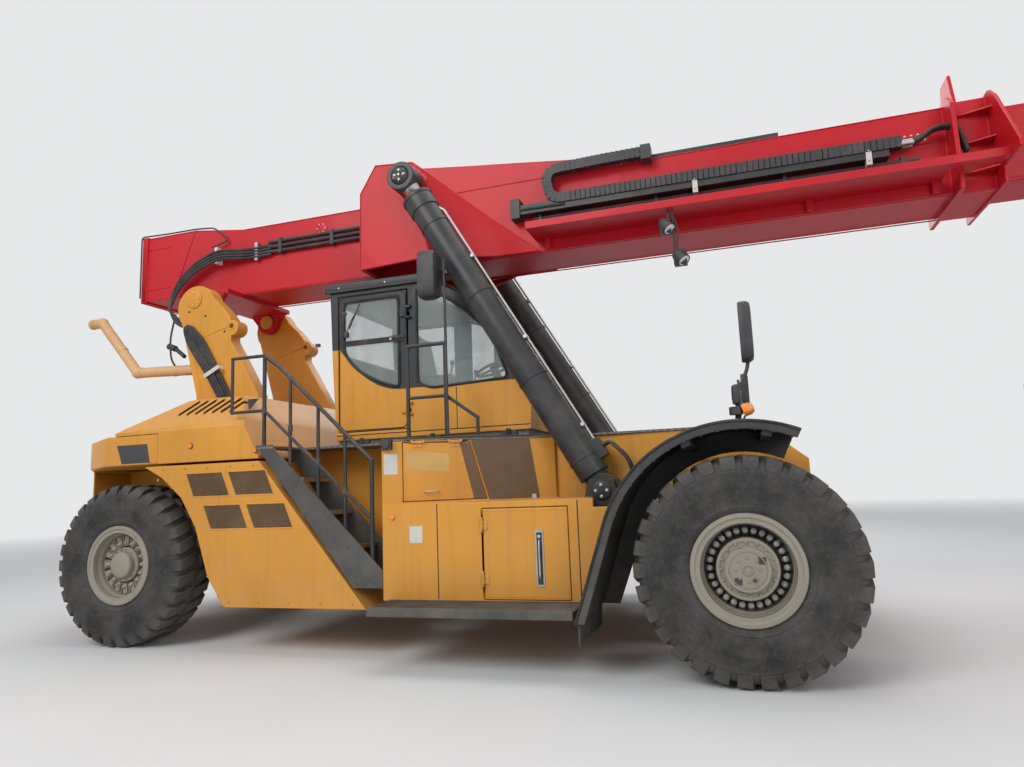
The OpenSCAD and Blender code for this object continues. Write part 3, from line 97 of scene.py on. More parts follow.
class StackerPaint(bpy.types.PropertyGroup):
    """Colours of the paints and how worn they are"""

    body: FloatVectorProperty(name="Body paint", description="Amber paint of chassis, hood and cab",
                              subtype="COLOR", size=3, default=(0.64, 0.285, 0.035), min=0, max=1)
    boom: FloatVectorProperty(name="Boom paint", description="Red paint of boom and spreader",
                              subtype="COLOR", size=3, default=(0.5, 0.004, 0.012), min=0, max=1)
    trim: FloatVectorProperty(name="Dark paint", description="Charcoal paint of fenders, rails and cylinders",
                              subtype="COLOR", size=3, default=(0.036, 0.038, 0.04), min=0, max=1)
    rim: FloatVectorProperty(name="Rim paint", description="Dusty cream paint of the rims",
                             subtype="COLOR", size=3, default=(0.27, 0.245, 0.195), min=0, max=1)
    dust: FloatProperty(name="Dust", description="How much dust lies on the machine", default=0.5, min=0, max=1)
    rust: FloatProperty(name="Rust", description="How many chips and rust specks show", default=0.4, min=0, max=1)


class StackerSizes(bpy.types.PropertyGroup):
    """Sizes of the repeated fittings"""

    lug_count: IntProperty(name="Tread lugs", description="Lugs round one shoulder of a tyre", default=30,
                           min=24, max=44)
    lug_depth: FloatProperty(name="Lug depth", description="Depth of the grooves between the lugs",
                             default=0.034, min=0.02, max=0.05, unit="LENGTH")
    bolt: FloatProperty(name="Bolt", description="Radius of a bolt head", default=0.013, min=0.006, max=0.03,
                        unit="LENGTH")
    hose: FloatProperty(name="Hose", description="Radius of a hydraulic hose", default=0.016, min=0.008,
                        max=0.03, unit="LENGTH")
    grille_pitch: FloatProperty(name="Grille pitch", description="Distance between the wires of a grille",
                                default=0.016, min=0.01, max=0.03, unit="LENGTH")


# Meshes: one joined piece is gathered in a Stock, then made into an object that rides on a body


SHARP = math.radians(34)


class Stock:
    """Faces of one joined piece. Each face keeps the place of its material in the piece's list."""

    def __init__(self):
        self.points, self.faces, self.kinds = [], [], []

    def add(self, points, faces, kind=0):
        start = len(self.points)
        self.points += [tuple(p) for p in points]
        self.faces += [tuple(start + i for i in f) for f in faces]
        self.kinds += [kind] * len(faces)

    def box(self, low, high, kind=0, place=None):
        """A block between two corners, or turned and moved by a matrix."""
        xs, ys, zs = zip(low, high)
        points = [Vector((x, y, z)) for x in xs for y in ys for z in zs]
        if place is not None:
            points = [place @ p for p in points]
        self.add(points, [(0, 1, 3, 2), (4, 6, 7, 5), (0, 4, 5, 1), (2, 3, 7, 6), (0, 2, 6, 4), (1, 5, 7, 3)], kind)

    def slab(self, a, b, kind=0):
        """A block between two opposite corners in any order."""
        self.box(Vector(map(min, a, b)), Vector(map(max, a, b)), kind)

    def cap(self, r, h, centre, axis, steps=24, kind=0):
        """A low round lens or cover that stands along an axis."""
        self.lathe([(1e-5, 0), (r, 0), (r, h * 0.6), (r * 0.85, h), (1e-5, h)], centre, axis, steps, kind,
                   closed=False)

    def prism(self, outline, low, high, axis="Y", kind=0):
        """An outline made thick along an axis. Its points are the two other coordinates in the order X, Y, Z."""
        put = {"X": lambda a, b, d: (d, a, b), "Y": lambda a, b, d: (a, d, b), "Z": lambda a, b, d: (a, b, d)}[axis]
        n = len(outline)
        area = sum(outline[i][0] * outline[(i + 1) % n][1] - outline[(i + 1) % n][0] * outline[i][1]
                   for i in range(n))
        ring = list(outline) if (area > 0) == (axis != "Y") else list(outline)[::-1]
        points = [put(a, b, low) for a, b in ring] + [put(a, b, high) for a, b in ring]
        faces = [tuple(range(n))[::-1], tuple(range(n, 2 * n))]
        faces += [(i, (i + 1) % n, n + (i + 1) % n, n + i) for i in range(n)]
        self.add(points, faces, kind)

    def lathe(self, profile, centre, axis, steps=48, kind=0, closed=True):
        """A ring turned about an axis through a centre, from a profile of (radius, distance along the axis)."""
        across = Vector(axis).normalized().orthogonal().normalized()
        side = Vector(axis).normalized().cross(across)
        along, n = Vector(axis).normalized(), len(profile)
        points = [centre + along * d + (across * math.cos(t) + side * math.sin(t)) * r
                  for t in (2 * math.pi * k / steps for k in range(steps)) for r, d in profile]
        spans = range(n if closed else n - 1)
        faces = [(k * n + i, k * n + (i + 1) % n, (k + 1) % steps * n + (i + 1) % n, (k + 1) % steps * n + i)
                 for k in range(steps) for i in spans]
        self.add(points, faces, kind)

    def rod(self, a, b, r, kind=0, sides=14, r1=None):
        """A round bar between two points, closed at both ends."""
        a, b = Vector(a), Vector(b)
        length = (b - a).length
        self.lathe([(1e-5, 0), (r, 0), (r if r1 is None else r1, length), (1e-5, length)], a, b - a, sides, kind,
                   closed=False)

    def tube(self, path, r, kind=0, sides=10):
        """A round tube that follows points, with closed ends."""
        self.take(rule("hose").run(line_of(path), Radius=r, Sides=sides), Matrix(), kind)

    def bent(self, path, bend, r, kind=0, sides=10):
        """A round tube that follows points, with its corners turned into arcs."""
        self.tube(rounded(path, bend), r, kind, sides)

    def chain(self, path, kind=0, **sizes):
        """A drag chain that follows points."""
        self.take(rule("chain").run(line_of(path), **sizes), Matrix(), kind)

    def take(self, mesh, place, kind=0):
        """The faces of a mesh that a rule has made, moved by a matrix."""
        self.add([place @ v.co for v in mesh.vertices], [tuple(p.vertices) for p in mesh.polygons], kind)

    def mesh(self, name):
        """The gathered faces as a mesh, turned outwards and shaded by the angles between faces."""
        mesh = bpy.data.meshes.new(name)
        mesh.from_pydata(self.points, [], self.faces)
        mesh.polygons.foreach_set("material_index", self.kinds)
        outward(mesh)
        mesh.polygons.foreach_set("use_smooth", [True] * len(mesh.polygons))
        mesh.set_sharp_from_angle(angle=SHARP)
        return mesh

    def make(self, name, body, slot, *finishes, soften=0.0):
        """The gathered faces as one object that rides on a body."""
        return placed(self.mesh(name), name, body, finishes, soften)


def soft_edges(mesh, width):
    """Weights the edges sharper than 34 degrees for a bevel, less where the edges they end at are short."""
    faces = bmesh.new()
    faces.from_mesh(mesh)
    weight = faces.edges.layers.float.get("bevel_weight_edge") or faces.edges.layers.float.new("bevel_weight_edge")
    reach = {v: min((e.calc_length() for e in v.link_edges), default=0.0) for v in faces.verts}
    for edge in faces.edges:
        sharp = len(edge.link_faces) == 2 and edge.calc_face_angle(0.0) > SHARP
        edge[weight] = min(1.0, min(reach[v] for v in edge.verts) / (2.4 * width)) if sharp else 0.0
    faces.to_mesh(mesh)
    faces.free()


def placed(mesh, name, body, finishes, soften=0.0):
    """An object of a mesh that rides on a body, with its finishes from the shelf."""
    piece = bpy.data.objects.new(name, mesh)
    bpy.context.scene.collection.objects.link(piece)
    kinds = [face.material_index for face in mesh.polygons]
    mesh.materials.clear()
    for finish in finishes:
        mesh.materials.append(shelf(finish))
    mesh.polygons.foreach_set("material_index", kinds)
    if soften:
        soft_edges(mesh, soften)
        bevel = piece.modifiers.new("soft edges", "BEVEL")
        bevel.width, bevel.segments, bevel.limit_method, bevel.use_clamp_overlap = soften, 2, "WEIGHT", False
        piece.modifiers.new("even shading", "WEIGHTED_NORMAL").keep_sharp = False
    if body:
        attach(piece, body)
    return piece


def outward(mesh):
    """Turns every closed part of a mesh the right way out."""
    faces = bmesh.new()
    faces.from_mesh(mesh)
    bmesh.ops.remove_doubles(faces, verts=faces.verts, dist=1e-6)
    bmesh.ops.recalc_face_normals(faces, faces=faces.faces)
    faces.to_mesh(mesh)
    faces.free()


def line_of(path):
    """A mesh of edges through points."""
    line = bpy.data.meshes.new("line")
    line.from_pydata([tuple(p) for p in path], [(i, i + 1) for i in range(len(path) - 1)], [])
    return line


def rounded(path, radius, steps=6):
    """A path whose corners are turned into arcs."""
    path = [Vector(p) for p in path]
    line = [path[0]]
    for before, corner, after in zip(path, path[1:], path[2:]):
        a, b = (before - corner), (after - corner)
        reach = min(radius, a.length * 0.45, b.length * 0.45)
        a, b = corner + a.normalized() * reach, corner + b.normalized() * reach
        line += [a.lerp(corner, t).lerp(corner.lerp(b, t), t) for t in (k / steps for k in range(steps + 1))]
    return line + [path[-1]]


# Rules: Geometry Nodes trees for what repeats, each turned into plain mesh when it is used


class Rule:
    """A Geometry Nodes tree with named inputs that makes what repeats or follows a path."""

    KINDS = {int: "NodeSocketInt", float: "NodeSocketFloat"}

    def __init__(self, name, **inputs):
        self.tree = bpy.data.node_groups.new(name, "GeometryNodeTree")
        sockets = self.tree.interface
        sockets.new_socket("Geometry", in_out="OUTPUT", socket_type="NodeSocketGeometry")
        sockets.new_socket("Part", in_out="INPUT", socket_type="NodeSocketGeometry")
        for label, value in inputs.items():
            sockets.new_socket(label, in_out="INPUT", socket_type=self.KINDS[type(value)]).default_value = value
        sockets.new_socket("Material", in_out="INPUT", socket_type="NodeSocketMaterial")
        self.entry = self.tree.nodes.new("NodeGroupInput")

    def given(self, label):
        """The socket of a named input."""
        return self.entry.outputs[label]

    def node(self, kind, settings=None, sockets=None, out=0):
        """Adds a node with its settings, then its sockets, and gives one output."""
        made = self.tree.nodes.new(kind)
        for key, value in (settings or {}).items():
            setattr(made, key, value)
        for key, value in (sockets or {}).items():
            if isinstance(value, bpy.types.NodeSocket):
                self.tree.links.new(value, made.inputs[key])
            else:
                made.inputs[key].default_value = value
        return made.outputs[out]

    def maths(self, kind, a, b):
        return self.node("ShaderNodeMath", {"operation": kind}, {0: a, 1: b})

    def copies(self, points, **more):
        """The given part at every point."""
        return self.node("GeometryNodeInstanceOnPoints", {}, {"Points": points, "Instance": self.given("Part"), **more})

    def end(self, geometry):
        """Realises the instances, hands over the material and closes the tree."""
        real = self.node("GeometryNodeRealizeInstances", {}, {"Geometry": geometry})
        done = self.node("GeometryNodeSetMaterial", {}, {"Geometry": real, "Material": self.given("Material")})
        out = self.tree.nodes.new("NodeGroupOutput")
        self.tree.links.new(done, out.inputs[0])
        return self

    def run(self, part, **values):
        """The mesh that the tree makes of a part with these values."""
        carrier = bpy.data.objects.new("carrier", part)
        bpy.context.scene.collection.objects.link(carrier)
        modifier = carrier.modifiers.new("rule", "NODES")
        modifier.node_group = self.tree
        for item in self.tree.interface.items_tree:
            if item.in_out == "INPUT" and item.name in values:
                modifier[item.identifier] = values[item.name]
        bpy.context.view_layer.update()
        made = bpy.data.meshes.new_from_object(carrier.evaluated_get(bpy.context.evaluated_depsgraph_get()))
        bpy.data.objects.remove(carrier)
        return made


def ring_rule():
    """Copies turned about the Y axis through the origin."""
    rule = Rule("ring", Count=12, Start=0.0)
    spots = rule.node("GeometryNodeMeshLine", {"mode": "OFFSET"}, {"Count": rule.given("Count"), "Offset": (0, 0, 0)})
    step = rule.maths("DIVIDE", 2 * math.pi, rule.given("Count"))
    angle = rule.maths("MULTIPLY", rule.maths("ADD", rule.node("GeometryNodeInputIndex"), rule.given("Start")), step)
    turn = rule.node("FunctionNodeEulerToRotation", {}, {0: rule.node("ShaderNodeCombineXYZ", {}, {"Y": angle})})
    return rule.end(rule.copies(spots, Rotation=turn))


def row_rule():
    """Copies in a row along X."""
    rule = Rule("row", Count=6, Length=0.5)
    end = rule.node("ShaderNodeCombineXYZ", {}, {"X": rule.given("Length")})
    spots = rule.node("GeometryNodeMeshLine", {"mode": "END_POINTS"}, {"Count": rule.given("Count"), "Offset": end})
    return rule.end(rule.copies(spots))


def hose_rule():
    """A round tube along the edges of the part, with closed ends."""
    rule = Rule("hose", Radius=0.016, Sides=10)
    line = rule.node("GeometryNodeMeshToCurve", {}, {"Mesh": rule.given("Part")})
    round_ = rule.node("GeometryNodeCurvePrimitiveCircle", {}, {"Resolution": rule.given("Sides"),
                                                                "Radius": rule.given("Radius")})
    tube = rule.node("GeometryNodeCurveToMesh", {}, {"Curve": line, "Profile Curve": round_, "Fill Caps": True})
    return rule.end(tube)


def chain_rule():
    """A plastic drag chain along the edges of the part: narrow links between wider side plates."""
    rule = Rule("chain", Pitch=0.05, Width=0.09, Depth=0.1)
    line = rule.node("GeometryNodeMeshToCurve", {}, {"Mesh": rule.given("Part")})
    pitch, wide, deep = (rule.given(label) for label in ("Pitch", "Width", "Depth"))
    spots = rule.node("GeometryNodeResampleCurve", {"mode": "LENGTH"}, {"Curve": line, "Length": pitch})
    ahead = rule.node("GeometryNodeInputTangent")
    x = rule.node("ShaderNodeSeparateXYZ", {}, {0: ahead})
    facing = rule.node("ShaderNodeVectorMath", {"operation": "SCALE"}, {0: ahead, "Scale": rule.maths("SIGN", x, 0.0)})
    turn = rule.node("FunctionNodeAlignRotationToVector", {"axis": "X"}, {"Vector": facing})
    both = rule.tree.nodes.new("GeometryNodeJoinGeometry").inputs[0]
    for along, across, thick in ((1.12, 1.0, 0.93), (0.62, 1.05, 1.0)):
        size = rule.node("ShaderNodeCombineXYZ", {}, {"X": rule.maths("MULTIPLY", pitch, along),
                                                      "Y": rule.maths("MULTIPLY", wide, across),
                                                      "Z": rule.maths("MULTIPLY", deep, thick)})
        block = rule.node("GeometryNodeMeshCube", {}, {"Size": size})
        rule.tree.links.new(rule.node("GeometryNodeInstanceOnPoints", {}, {"Points": spots, "Instance": block,
                                                                           "Rotation": turn}), both)
    return rule.end(both.node.outputs[0])


MAKERS = {"ring": ring_rule, "row": row_rule, "hose": hose_rule, "chain": chain_rule}
RULES = {}


def rule(name):
    """A rule's tree, made once."""
    if name not in RULES:
        RULES[name] = MAKERS[name]()
    return RULES[name]


def head_shape(radius, height, upright):
    """A hexagonal head on a washer, standing along Y at a distance from the Y axis, or along Z at the origin."""
    shape = Stock()
    axis = (0, 1, 0) if upright is not None else (0, 0, 1)
    spot = Vector((upright or 0, 0, 0))
    shape.lathe([(1e-5, 0), (radius * 1.25, 0), (radius * 1.25, height * 0.2), (1e-5, height * 0.2)], spot, axis, 12,
                closed=False)
    shape.lathe([(1e-5, 0), (radius, 0), (radius, height * 0.85), (radius * 0.84, height), (1e-5, height)], spot, axis,
                6, closed=False)
    return shape.mesh("head")


def bolts_round(stock, centre, axis, radius, count, kind=0, head=None, height=0.014, start=0.0):
    """Bolt heads round a circle, standing along an axis."""
    head = head_shape(head or bpy.context.scene.stacker_sizes.bolt, height, radius)
    made = rule("ring").run(head, Count=count, Start=start)
    place = Matrix.Translation(centre) @ Vector(axis).to_track_quat("Y", "Z").to_matrix().to_4x4()
    stock.take(made, place, kind)


def bolt_at(stock, spot, axis, kind, head, height):
    """One bolt head that stands along an axis."""
    bolts_round(stock, spot, axis, 0.0001, 1, kind, head, height)


def lay(start, run, out):
    """A matrix that lays +X along a run and +Z along an outward direction from a start."""
    run, out = Vector(run).normalized(), Vector(out).normalized()
    out = (out - run * out.dot(run)).normalized()
    return Matrix.Translation(start) @ Matrix((run, out.cross(run), out)).transposed().to_4x4()


def bolts_along(stock, start, end, out, count, kind=0, head=None, height=0.01):
    """Bolt heads from one point to another, standing along a direction."""
    start, end = Vector(start), Vector(end)
    head = head_shape(head or bpy.context.scene.stacker_sizes.bolt, height, None)
    made = rule("row").run(head, Count=count, Length=(end - start).length)
    stock.take(made, lay(start, end - start, out), kind)


def row_of(stock, part, start, end, out, count, kind=0):
    """Copies of a part from one point to another, whose +X follows the row and +Z points out."""
    start, end = Vector(start), Vector(end)
    made = rule("row").run(part.mesh("part"), Count=count, Length=(end - start).length)
    stock.take(made, lay(start, end - start, out), kind)


# Materials: shader maths is written as expressions on sockets


class Flow:
    """A shader socket that Python's operators combine."""

    def __init__(self, board, socket):
        self.board, self.socket = board, socket

    def maths(self, kind, a, b, clamp=False):
        return self.board.node("ShaderNodeMath", {"operation": kind, "use_clamp": clamp}, {0: a, 1: b})

    __add__ = __radd__ = lambda self, other: self.maths("ADD", self, other)
    __mul__ = __rmul__ = lambda self, other: self.maths("MULTIPLY", self, other)
    __sub__ = lambda self, other: self.maths("SUBTRACT", self, other)
    __rsub__ = lambda self, other: self.maths("SUBTRACT", other, self)

    def held(self):
        """The value kept between 0 and 1."""
        return self.maths("ADD", self, 0.0, True)

    def from_to(self, low, high):
        """0 at low, 1 at high, and a straight line between."""
        return self.board.node("ShaderNodeMapRange", {},
                               {"Value": self, "From Min": low, "From Max": high})


class Board:
    """The nodes of one material."""

    def __init__(self, name):
        self.material = bpy.data.materials.new(name)
        self.material.use_nodes = True
        self.tree = self.material.node_tree
        self.shader = self.tree.nodes["Principled BSDF"]
        self.where = self.node("ShaderNodeTexCoord", out=3)

    def feed(self, socket, value):
        if isinstance(value, Flow):
            self.tree.links.new(value.socket, socket)
        else:
            socket.default_value = value

    def node(self, kind, settings=None, sockets=None, out=0):
        """Adds a node with its settings, then its sockets, and gives one output."""
        made = self.tree.nodes.new(kind)
        for key, value in (settings or {}).items():
            setattr(made, key, value)
        for key, value in (sockets or {}).items():
            self.feed(made.inputs[key], value)
        return Flow(self, made.outputs[out])

    def part(self, vector, axis):
        """One coordinate of a vector."""
        return self.node("ShaderNodeSeparateXYZ", sockets={0: vector}, out="XYZ".index(axis))

    def scaled(self, vector, x, y, z):
        return self.node("ShaderNodeVectorMath", {"operation": "MULTIPLY"}, {0: vector, 1: (x, y, z)})

    def noise(self, scale, detail=4.0, rough=0.55, where=None):
        return self.node("ShaderNodeTexNoise", {}, {"Vector": where or self.where, "Scale": scale,
                                                    "Detail": detail, "Roughness": rough})

    def blend(self, a, b, factor):
        """One colour over another."""
        full = [c if isinstance(c, Flow) else (*c[:3], 1) for c in (a, b)]
        return self.node("ShaderNodeMix", {"data_type": "RGBA"}, {0: factor, 6: full[0], 7: full[1]}, out=2)

    def bump(self, height, distance, strength=1.0, below=None):
        sockets = {"Height": height, "Distance": distance, "Strength": strength}
        if below is not None:
            sockets["Normal"] = below
        return self.node("ShaderNodeBump", {}, sockets)

    def finish(self, **sockets):
        """Feeds the shader: colour, roughness, metallic, normal and others by name."""
        names = {"colour": "Base Color", "roughness": "Roughness", "metallic": "Metallic", "normal": "Normal",
                 "coat": "Coat Weight", "alpha": "Alpha", "ior": "IOR", "specular": "Specular IOR Level"}
        for key, value in sockets.items():
            if key == "colour" and not isinstance(value, Flow):
                value = (*value[:3], 1)
            self.feed(self.shader.inputs[names[key]], value)
        return self.material


DUST = (0.30, 0.255, 0.20)
GRIME = (0.055, 0.045, 0.036)
RUST = (0.16, 0.055, 0.022)


def tinted(colour, k):
    return tuple(min(1, c * k) for c in colour[:3])


def toward(colour, other, t):
    return tuple(a + (b - a) * t for a, b in zip(colour[:3], other[:3]))


def cab_black(b):
    """Where the cab is black: above the window line, which sweeps up behind the door's pane."""
    back = b.part(b.where, "X").from_to(front_axle.x - 3.25, front_axle.x - 3.95)
    return (b.part(b.where, "Z") - back * back * 0.47).from_to(2.452, 2.458)


def foot_black(b):
    """Where the chassis is black: the ears at the feet of the lift cylinders."""
    x, y = b.part(b.where, "X"), b.node("ShaderNodeMath", {"operation": "ABSOLUTE"}, {0: b.part(b.where, "Y")})
    ahead = x.from_to(front_axle.x - 1.46, front_axle.x - 1.45) - x.from_to(front_axle.x - 0.9, front_axle.x - 0.89)
    return y.from_to(0.775, 0.78) * ahead


def lamp_black(b):
    """Where the boom's rail is black: the boxes and straps of the lamps under it."""
    y = b.node("ShaderNodeMath", {"operation": "ABSOLUTE"}, {0: b.part(b.where, "Y")})
    return (1 - b.part(b.where, "Z").from_to(3.945, 3.95)) * y.from_to(0.6, 0.605)


def weathered(name, colour, gloss=0.42, dust=0.5, grime=0.4, rust=0.35, bleach=0.35, coat=0.05, low_dust=True,
              over=None):
    """Sprayed paint with bleached tops, rain streaks of grime, settled dust, more dust low down and chips.

    over is a second colour and the function that says where it lies.
    """
    b = Board(name)
    wear = bpy.context.scene.stacker_paint
    dust, rust = dust * wear.dust * 2, rust * wear.rust * 2.5
    up = b.part(b.node("ShaderNodeTexCoord", out=1), "Z").held()
    high = b.part(b.where, "Z")
    broad = b.noise(0.8, 5, 0.6)
    cloud = b.noise(4.2, 6, 0.6)
    fine = b.noise(34, 5, 0.7)
    streak = b.noise(1.0, 5, 0.62, b.scaled(b.where, 11, 11, 0.55))
    speck = b.noise(58, 2, 0.5)
    spots = b.noise(2.6, 3, 0.5)

    faded = toward(tinted(colour, 1.22), (0.75, 0.66, 0.52), 0.16)
    paint = b.blend(tinted(colour, 0.86), tinted(colour, 1.1), broad.from_to(0.3, 0.7))
    paint = b.blend(paint, faded, (up * 0.6 + cloud.from_to(0.42, 0.75) * 0.5) * bleach)
    if over:
        paint = b.blend(paint, over[0], over[1](b))
    runs = streak.from_to(0.52, 0.8) * grime
    paint = b.blend(paint, GRIME, (runs * 0.45).held())
    low = 1 - high.from_to(0.3, 1.9) if low_dust else cloud.from_to(0.4, 0.8)
    lies = (up.from_to(0.35, 0.95) * cloud.from_to(0.3, 0.62) * 0.75 + low * cloud.from_to(0.32, 0.7) * 0.55
            + fine.from_to(0.55, 0.8) * 0.12) * dust
    paint = b.blend(paint, DUST, lies.held())
    chips = (speck.from_to(0.68, 0.72) * spots.from_to(0.52, 0.66)) * rust
    paint = b.blend(paint, RUST, chips.held())

    rough = (gloss + broad * 0.14 + lies * 0.42 + runs * 0.12 + chips * 0.3).held()
    dents = b.bump(b.noise(2.2, 2, 0.4), 0.004, 0.5)
    skin = b.bump(b.noise(210, 3, 0.6), 0.0005, 0.35, dents)
    return b.finish(colour=paint, roughness=rough, normal=b.bump(1 - chips, 0.0006, 0.6, skin), coat=coat,
                    specular=0.32)


def bare_metal(name, colour, rough=0.32, stain=0.4):
    """Worked steel with drawn lines, stains and a little rust."""
    b = Board(name)
    cloud = b.noise(6, 6, 0.6)
    lines = b.noise(1, 3, 0.6, b.scaled(b.where, 160, 160, 12))
    spots = b.noise(30, 4, 0.7)
    metal = b.blend(tinted(colour, 0.78), tinted(colour, 1.12), cloud.from_to(0.3, 0.7))
    metal = b.blend(metal, RUST, (spots.from_to(0.6, 0.74) * stain).held())
    metal = b.blend(metal, DUST, (cloud.from_to(0.5, 0.8) * stain * 0.5).held())
    return b.finish(colour=metal, roughness=(rough + cloud * 0.2 + lines * 0.12).held(),
                    metallic=(1 - spots.from_to(0.58, 0.72) * stain).held(), normal=b.bump(lines, 0.0004, 0.35))


def chrome(name):
    """A ground and plated rod, with fine rings and an oily film."""
    b = Board(name)
    film = b.noise(3, 4, 0.6)
    scratch = b.noise(1, 2, 0.5, b.scaled(b.where, 40, 40, 400))
    tone = b.blend((0.62, 0.62, 0.63), (0.42, 0.41, 0.4), film.from_to(0.4, 0.75))
    return b.finish(colour=tone, metallic=1.0, roughness=(0.1 + film * 0.18 + scratch * 0.05).held())


def rubber(name, colour, grain=120.0, dusty=0.5, rough=0.72):
    """Black rubber greyed by dust, which the raised edges keep."""
    b = Board(name)
    cloud = b.noise(3.5, 5, 0.6)
    fine = b.noise(grain, 4, 0.7)
    scuff = b.noise(26, 4, 0.75)
    tone = b.blend(tinted(colour, 0.75), tinted(colour, 1.3), cloud.from_to(0.3, 0.7))
    tone = b.blend(tone, DUST, ((cloud.from_to(0.42, 0.8) * 0.5 + scuff.from_to(0.5, 0.8) * 0.4) * dusty).held())
    return b.finish(colour=tone, roughness=(rough + fine * 0.16).held(), specular=0.35,
                    normal=b.bump(fine, 0.0008, 0.4, b.bump(scuff, 0.0014, 0.3)))


def tyre_rubber(name, centre):
    """Tyre rubber: rings moulded in the sidewall and dust packed near the bead and the tread."""
    b = Board(name)
    off = b.node("ShaderNodeVectorMath", {"operation": "SUBTRACT"}, {0: b.where, 1: tuple(centre)})
    flat = b.scaled(off, 1, 0, 1)
    radius = b.node("ShaderNodeVectorMath", {"operation": "LENGTH"}, {0: flat}, out=1)
    cloud = b.noise(4.0, 5, 0.6)
    fine = b.noise(90, 4, 0.7)
    scuff = b.noise(1, 4, 0.7, b.scaled(b.where, 34, 9, 34))
    tone = b.blend((0.018, 0.018, 0.019), (0.042, 0.041, 0.04), cloud.from_to(0.3, 0.7))
    tread = radius.from_to(0.66, 0.79)
    bead = 1 - radius.from_to(0.38, 0.5)
    dust = tread * 0.42 + bead * 0.2 + cloud.from_to(0.4, 0.75) * 0.22 + scuff.from_to(0.5, 0.75) * 0.25
    tone = b.blend(tone, (0.19, 0.17, 0.145), (dust * (0.4 + fine * 0.7)).held())
    rings = b.node("ShaderNodeMath", {"operation": "SINE"}, {0: radius * 520.0})
    band = radius.from_to(0.44, 0.46) * (1 - radius.from_to(0.6, 0.62))
    moulded = b.bump(rings * band, 0.0006, 0.35, b.bump(fine, 0.001, 0.35))
    return b.finish(colour=tone, roughness=(0.66 + fine * 0.2 + dust * 0.1).held(), specular=0.35, normal=moulded)


def plastic(name, colour, rough=0.5, grain=320.0):
    """Moulded plastic or vinyl with a fine grain."""
    b = Board(name)
    fine = b.noise(grain, 3, 0.6)
    cloud = b.noise(5, 4, 0.6)
    tone = b.blend(tinted(colour, 0.85), tinted(colour, 1.15), cloud)
    tone = b.blend(tone, DUST, (cloud.from_to(0.5, 0.8) * 0.18).held())
    return b.finish(colour=tone, roughness=(rough + cloud * 0.15).held(), normal=b.bump(fine, 0.0005, 0.4))


def cloth(name, colour):
    """Woven seat cloth."""
    b = Board(name)
    warp = b.node("ShaderNodeTexWave", {"bands_direction": "X"}, {"Vector": b.where, "Scale": 160.0,
                                                                  "Distortion": 0.6})
    weft = b.node("ShaderNodeTexWave", {"bands_direction": "Z"}, {"Vector": b.where, "Scale": 160.0,
                                                                  "Distortion": 0.6})
    tone = b.blend(tinted(colour, 0.8), tinted(colour, 1.25), (warp * weft + b.noise(7, 4) * 0.4).held())
    return b.finish(colour=tone, roughness=0.9, normal=b.bump(warp + weft, 0.0006, 0.5))


def pane(name, tint, alpha=0.2):
    """Clear tinted glass with a film of dust, thicker in patches."""
    b = Board(name)
    film = b.noise(2.6, 5, 0.65)
    runs = b.noise(1, 4, 0.6, b.scaled(b.where, 14, 14, 1.2))
    dust = (film.from_to(0.45, 0.8) * 0.5 + runs.from_to(0.55, 0.8) * 0.3).held()
    return b.finish(colour=b.blend(tint, (0.5, 0.48, 0.43), dust), roughness=(0.03 + dust * 0.25).held(),
                    alpha=(alpha + dust * 0.28).held(), ior=1.5, specular=0.6)


def lens(name, colour):
    """Ribbed lamp glass."""
    b = Board(name)
    ribs = b.node("ShaderNodeTexWave", {"bands_direction": "Z"}, {"Vector": b.where, "Scale": 60.0})
    tone = b.blend(tinted(colour, 0.7), tinted(colour, 1.2), ribs)
    return b.finish(colour=tone, roughness=0.16, coat=0.6, normal=b.bump(ribs, 0.001, 0.6))


def sticker(name, colour):
    """A bare plate or film, sun-bleached and scuffed."""
    b = Board(name)
    cloud = b.noise(9, 5, 0.65)
    scuff = b.noise(60, 4, 0.7)
    tone = b.blend(tinted(colour, 0.82), tinted(colour, 1.08), cloud)
    tone = b.blend(tone, GRIME, (scuff.from_to(0.58, 0.75) * 0.4).held())
    return b.finish(colour=tone, roughness=(0.42 + cloud * 0.2).held(), coat=0.1)


def chequer(name, colour):
    """Raised tread plate: crossed lens-shaped ribs worn bright, with dirt between them."""
    b = Board(name)
    heights = []
    for turn in (45, -45):
        lay = b.node("ShaderNodeMapping", {}, {"Vector": b.where, "Rotation": (0, 0, math.radians(turn)),
                                               "Scale": (22, 50, 22)})
        spot = b.node("ShaderNodeTexVoronoi", {}, {"Vector": lay, "Scale": 1.0, "Randomness": 0.0})
        heights.append(1 - spot.from_to(0.2, 0.42))
    rib = heights[0] + heights[1] * 0.8
    cloud = b.noise(4, 5, 0.6)
    tone = b.blend(tinted(colour, 0.7), tinted(colour, 1.4), rib.held())
    tone = b.blend(tone, DUST, (cloud.from_to(0.35, 0.75) * 0.5).held())
    return b.finish(colour=tone, roughness=(0.5 + cloud * 0.25).held(), metallic=0.3,
                    normal=b.bump(rib.held(), 0.0025, 0.7))


SHELF = {}


